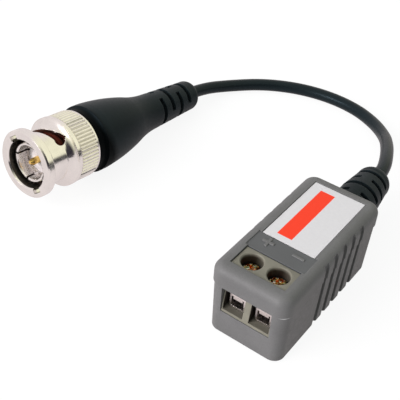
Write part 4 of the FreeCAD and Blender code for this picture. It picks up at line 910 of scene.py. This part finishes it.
class BALUN_OT_lead(bpy.types.Operator):
    """Make the coaxial lead between the strain relief and the plug's boot"""

    bl_idname = "balun.lead"
    bl_label = "Lead"

    def execute(self, context):
        rubber = context.scene.balun_rubber
        data = bpy.data.curves.new("lead", "CURVE")
        data.dimensions = "3D"
        line = data.splines.new("NURBS")
        line.points.add(len(LEAD_ROUTE) - 1)
        for point, spot in zip(line.points, LEAD_ROUTE):
            point.co = (*spot, 1.0)
        line.order_u = 3
        line.use_endpoint_u = True
        line.resolution_u = 12
        data.bevel_depth = rubber.lead_diameter / 2
        # A round bevel has four facets, and two more for each step of its resolution
        data.bevel_resolution = (rubber.sides - 4) // 2
        data.use_fill_caps = True
        lead = new_object("lead", data)
        colour = shade(rubber.rubber_colour, 0.85)
        jacket = rubber_finish("lead_jacket", colour, 0.19, smoother=0.14)
        finished(lead, jacket, "cable")
        return {"FINISHED"}


class BALUN_OT_case(bpy.types.Operator):
    """Give the case its grained plastic, and the polarity strip its smoother one"""

    bl_idname = "balun.case"
    bl_label = "Case"

    def execute(self, context):
        paint = context.scene.balun_plastic
        paint_nodes(case_finish(paint), "lower_base")
        paint_nodes(case_finish(paint, STRIP), "upper_cover")
        return {"FINISHED"}


class BALUN_OT_label(bpy.types.Operator):
    """Print the label: a plain red field on white"""

    bl_idname = "balun.label"
    bl_label = "Label"

    def execute(self, context):
        look = context.scene.balun_label
        finish = Finish("printed_label", look.paper_colour, 0.42, specular=0.25)
        place = finish.place()
        fibre = finish.noise(place, 0.0006)
        paper = finish.clouded(fibre, look.paper_colour, 0.96, 1.0, 0.3, 0.7)
        middle, size = (look.field_x, look.field_y), (look.field_width, look.field_length)
        inside = box_mask(finish, place, middle, size)
        finish.give("Base Color", finish.mix(inside, paper, look.field_colour))
        finish.relief(fibre, depth=0.000004, strength=0.4, edge=0.00006)
        paint_nodes(finish.material, "label")
        return {"FINISHED"}


class BALUN_OT_terminal(bpy.types.Operator):
    """Finish the terminal block, its cages, contacts and screws"""

    bl_idname = "balun.terminal"
    bl_label = "Terminal"

    def execute(self, context):
        paint = context.scene.balun_plastic
        metal = context.scene.balun_metal
        olive = plastic_finish(
            "terminal_olive", paint.terminal_colour, 0.45, 0.0003, specular=0.3,
            painted_shade_mask=terminal_painted_shade)
        paint_nodes(olive, "terminal_block")
        plating = metal_finish("cage_plating", metal.cage_colour, 0.28, edge=0.00004)
        paint_nodes(
            plating, "clamp_cage_plus", "clamp_cage_minus", "contact_bar_plus",
            "contact_bar_minus")
        paint_nodes(screw_finish(metal), "clamp_screw_plus", "clamp_screw_minus")
        return {"FINISHED"}


class BALUN_OT_plug(bpy.types.Operator):
    """Finish the plug's metal, its insulator, pin and seals"""

    bl_idname = "balun.plug"
    bl_label = "Plug"

    def execute(self, context):
        metal, rubber = context.scene.balun_metal, context.scene.balun_rubber
        nickel, black, white = metal.nickel_colour, rubber.rubber_colour, (0.60, 0.565, 0.555)
        nut = metal_finish(
            "nickel_plating_nut", nickel, 0.17, edge=0.00014, mottle=0.05, plug_painted_shade=nut_painted_shade)
        paint_nodes(nut, "coupling_nut")
        body = metal_finish(
            "nickel_plating_body", nickel, 0.17, mottle=0.05, plug_painted_shade=sleeve_painted_shade)
        paint_nodes(body, "plug_body")
        paint_nodes(metal_finish("nickel_plating", nickel, 0.25), "crimp_ferrule")
        steel = metal_finish("spring_steel", (0.45, 0.45, 0.46), 0.35)
        paint_nodes(steel, "retaining_ring", "thrust_washer")
        wave_spring(steel)
        gilt = metal_finish("gilt_plating", metal.gilt_colour, 0.18, edge=0.00005)
        paint_nodes(gilt, "center_pin")
        insulator = plastic_finish("insulator_white", white, 0.42, 0.0004, depth=0.000005)
        paint_nodes(insulator, "insulator")
        paint_nodes(rubber_finish("moulded_rubber", black), "strain_relief")
        paint_nodes(rubber_finish("boot_rubber", black, painted_shade_mask=neck_painted_shade), "plug_boot")
        paint_nodes(rubber_finish("gasket_rubber", rubber.gasket_colour), "gasket")
        paint_nodes(rubber_finish("lead_jacket_inside", black), "cable_entry", "cable_tail")
        return {"FINISHED"}


class BALUN_OT_board(bpy.types.Operator):
    """Finish the circuit board, and make what is wound, twisted and soldered on it"""

    bl_idname = "balun.board"
    bl_label = "Board"

    def execute(self, context):
        self.paint_board()
        board_low, board_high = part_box("circuit_board")
        core_low, core_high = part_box("ferrite_core")
        centre = [(low + high) / 2 for low, high in zip(core_low, core_high)]
        enamel = metal_finish("enamelled_wire", (0.62, 0.22, 0.08), 0.25)
        for node, middle_angle in (("winding_line", 120.0), ("winding_coax", -60.0)):
            turns = winding(node + "_wire", enamel, centre, middle_angle, board_high[2])
            finished(turns, enamel, node)
        copper = metal_finish("braid_copper", (0.62, 0.36, 0.20), 0.32)
        finished(braid("shield_braid", copper, BRAID_ROUTE), copper, "shield_wire")
        tin = metal_finish("solder_tin", (0.62, 0.62, 0.63), 0.30)
        wire_low, wire_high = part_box("center_wire")
        wire_radius = (wire_high[0] - wire_low[0]) / 2
        spots = [
            ((wire_low[0] + wire_high[0]) / 2, wire_low[1] + wire_radius, board_high[2]),
            (BRAID_ROUTE[-1][0], BRAID_ROUTE[-1][1], board_high[2]),
        ]
        for pole in ("plus", "minus"):
            low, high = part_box("contact_bar_" + pole)
            spots.append(((low[0] + high[0]) / 2, high[1] - PIN_THICKNESS / 2, board_low[2]))
        board_middle = (board_low[2] + board_high[2]) / 2
        joints = solder_fillets("solder_fillets", tin, spots, board_middle)
        finished(joints, tin, "solder_joints")
        return {"FINISHED"}

    def paint_board(self):
        """Gives the board, the core, the chips and the inner wire their finishes."""
        paint_nodes(self.board_finish(), "circuit_board")
        ferrite = plastic_finish("ferrite", (0.035, 0.035, 0.038), 0.60, 0.0002)
        paint_nodes(ferrite, "ferrite_core")
        chips = (
            ("chip_capacitor", "chip_tan", (0.30, 0.20, 0.11)),
            ("chip_resistor", "chip_black", (0.02, 0.02, 0.02)),
        )
        for node, name, colour in chips:
            paint_nodes(self.chip_finish(name, colour, node), node)
        inner_white = plastic_finish("inner_wire_white", (0.70, 0.69, 0.64), 0.35, 0.0002)
        paint_nodes(inner_white, "center_wire")

    def board_finish(self):
        """Green solder mask over faint copper tracks."""
        finish = Finish("board_mask", (0.02, 0.11, 0.04), 0.30)
        place = finish.place()
        weave = finish.noise(place, 0.0005)
        dark, light = (0.017, 0.095, 0.034), (0.023, 0.120, 0.045)
        over_copper = (0.055, 0.210, 0.075)
        plain = finish.mix(finish.between(weave, 0.3, 0.7), dark, light)
        tracks = 0.0
        for middle, size in BOARD_TRACKS:
            tracks = finish.calc("MAXIMUM", tracks, box_mask(finish, place, middle, size))
        finish.give("Base Color", finish.mix(tracks, plain, over_copper))
        height = finish.calc("MULTIPLY_ADD", tracks, 2.0, weave)
        finish.relief(height, depth=0.000012, strength=0.6, edge=0.00008)
        return finish.material

    def chip_finish(self, name, colour, node):
        """A ceramic chip with tinned ends."""
        low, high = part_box(node)
        middle = [(a + b) / 2 for a, b in zip(low, high)]
        ceramic_size, tin = (0.0012, 0.01), (0.62, 0.61, 0.60)
        finish = Finish(name, colour, 0.45)
        place = finish.place()
        fine = finish.noise(place, 0.0002)
        body = box_mask(finish, place, middle[:2], ceramic_size)
        ceramic = finish.clouded(fine, colour, 0.9, 1.1, 0.3, 0.7)
        finish.give("Base Color", finish.mix(body, tin, ceramic))
        finish.give("Metallic", finish.between(body, 0.0, 1.0, 1.0, 0.0))
        finish.give("Roughness", finish.between(fine, 0.3, 0.7, 0.38, 0.48))
        finish.relief(fine, depth=0.00001, strength=0.6, edge=0.00008)
        return finish.material


class BALUN_PT_panel(bpy.types.Panel):
    """The balun's pieces"""

    bl_idname = "BALUN_PT_panel"
    bl_label = "Video Balun"
    bl_space_type = "VIEW_3D"
    bl_region_type = "UI"
    bl_category = "Balun"

    def draw(self, context):
        for step in STEPS:
            self.layout.operator(step.bl_idname)


STEPS = (
    BALUN_OT_stage,
    BALUN_OT_case,
    BALUN_OT_label,
    BALUN_OT_terminal,
    BALUN_OT_plug,
    BALUN_OT_lead,
    BALUN_OT_board,
)

SETTINGS = (
    ("balun_view", BalunView),
    ("balun_plastic", BalunPlastic),
    ("balun_label", BalunLabel),
    ("balun_metal", BalunMetal),
    ("balun_rubber", BalunRubber),
)


def register():
    for name, group in SETTINGS:
        bpy.utils.register_class(group)
        setattr(bpy.types.Scene, name, PointerProperty(type=group))
    for step in STEPS:
        bpy.utils.register_class(step)
    bpy.utils.register_class(BALUN_PT_panel)


def unregister():
    bpy.utils.unregister_class(BALUN_PT_panel)
    for step in reversed(STEPS):
        bpy.utils.unregister_class(step)
    for name, group in reversed(SETTINGS):
        delattr(bpy.types.Scene, name)
        bpy.utils.unregister_class(group)


def main():
    """Makes every piece in order."""
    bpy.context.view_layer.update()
    register()
    for step in STEPS:
        area, action = step.bl_idname.split(".")
        getattr(getattr(bpy.ops, area), action)()


if __name__ == "__main__":
    main()
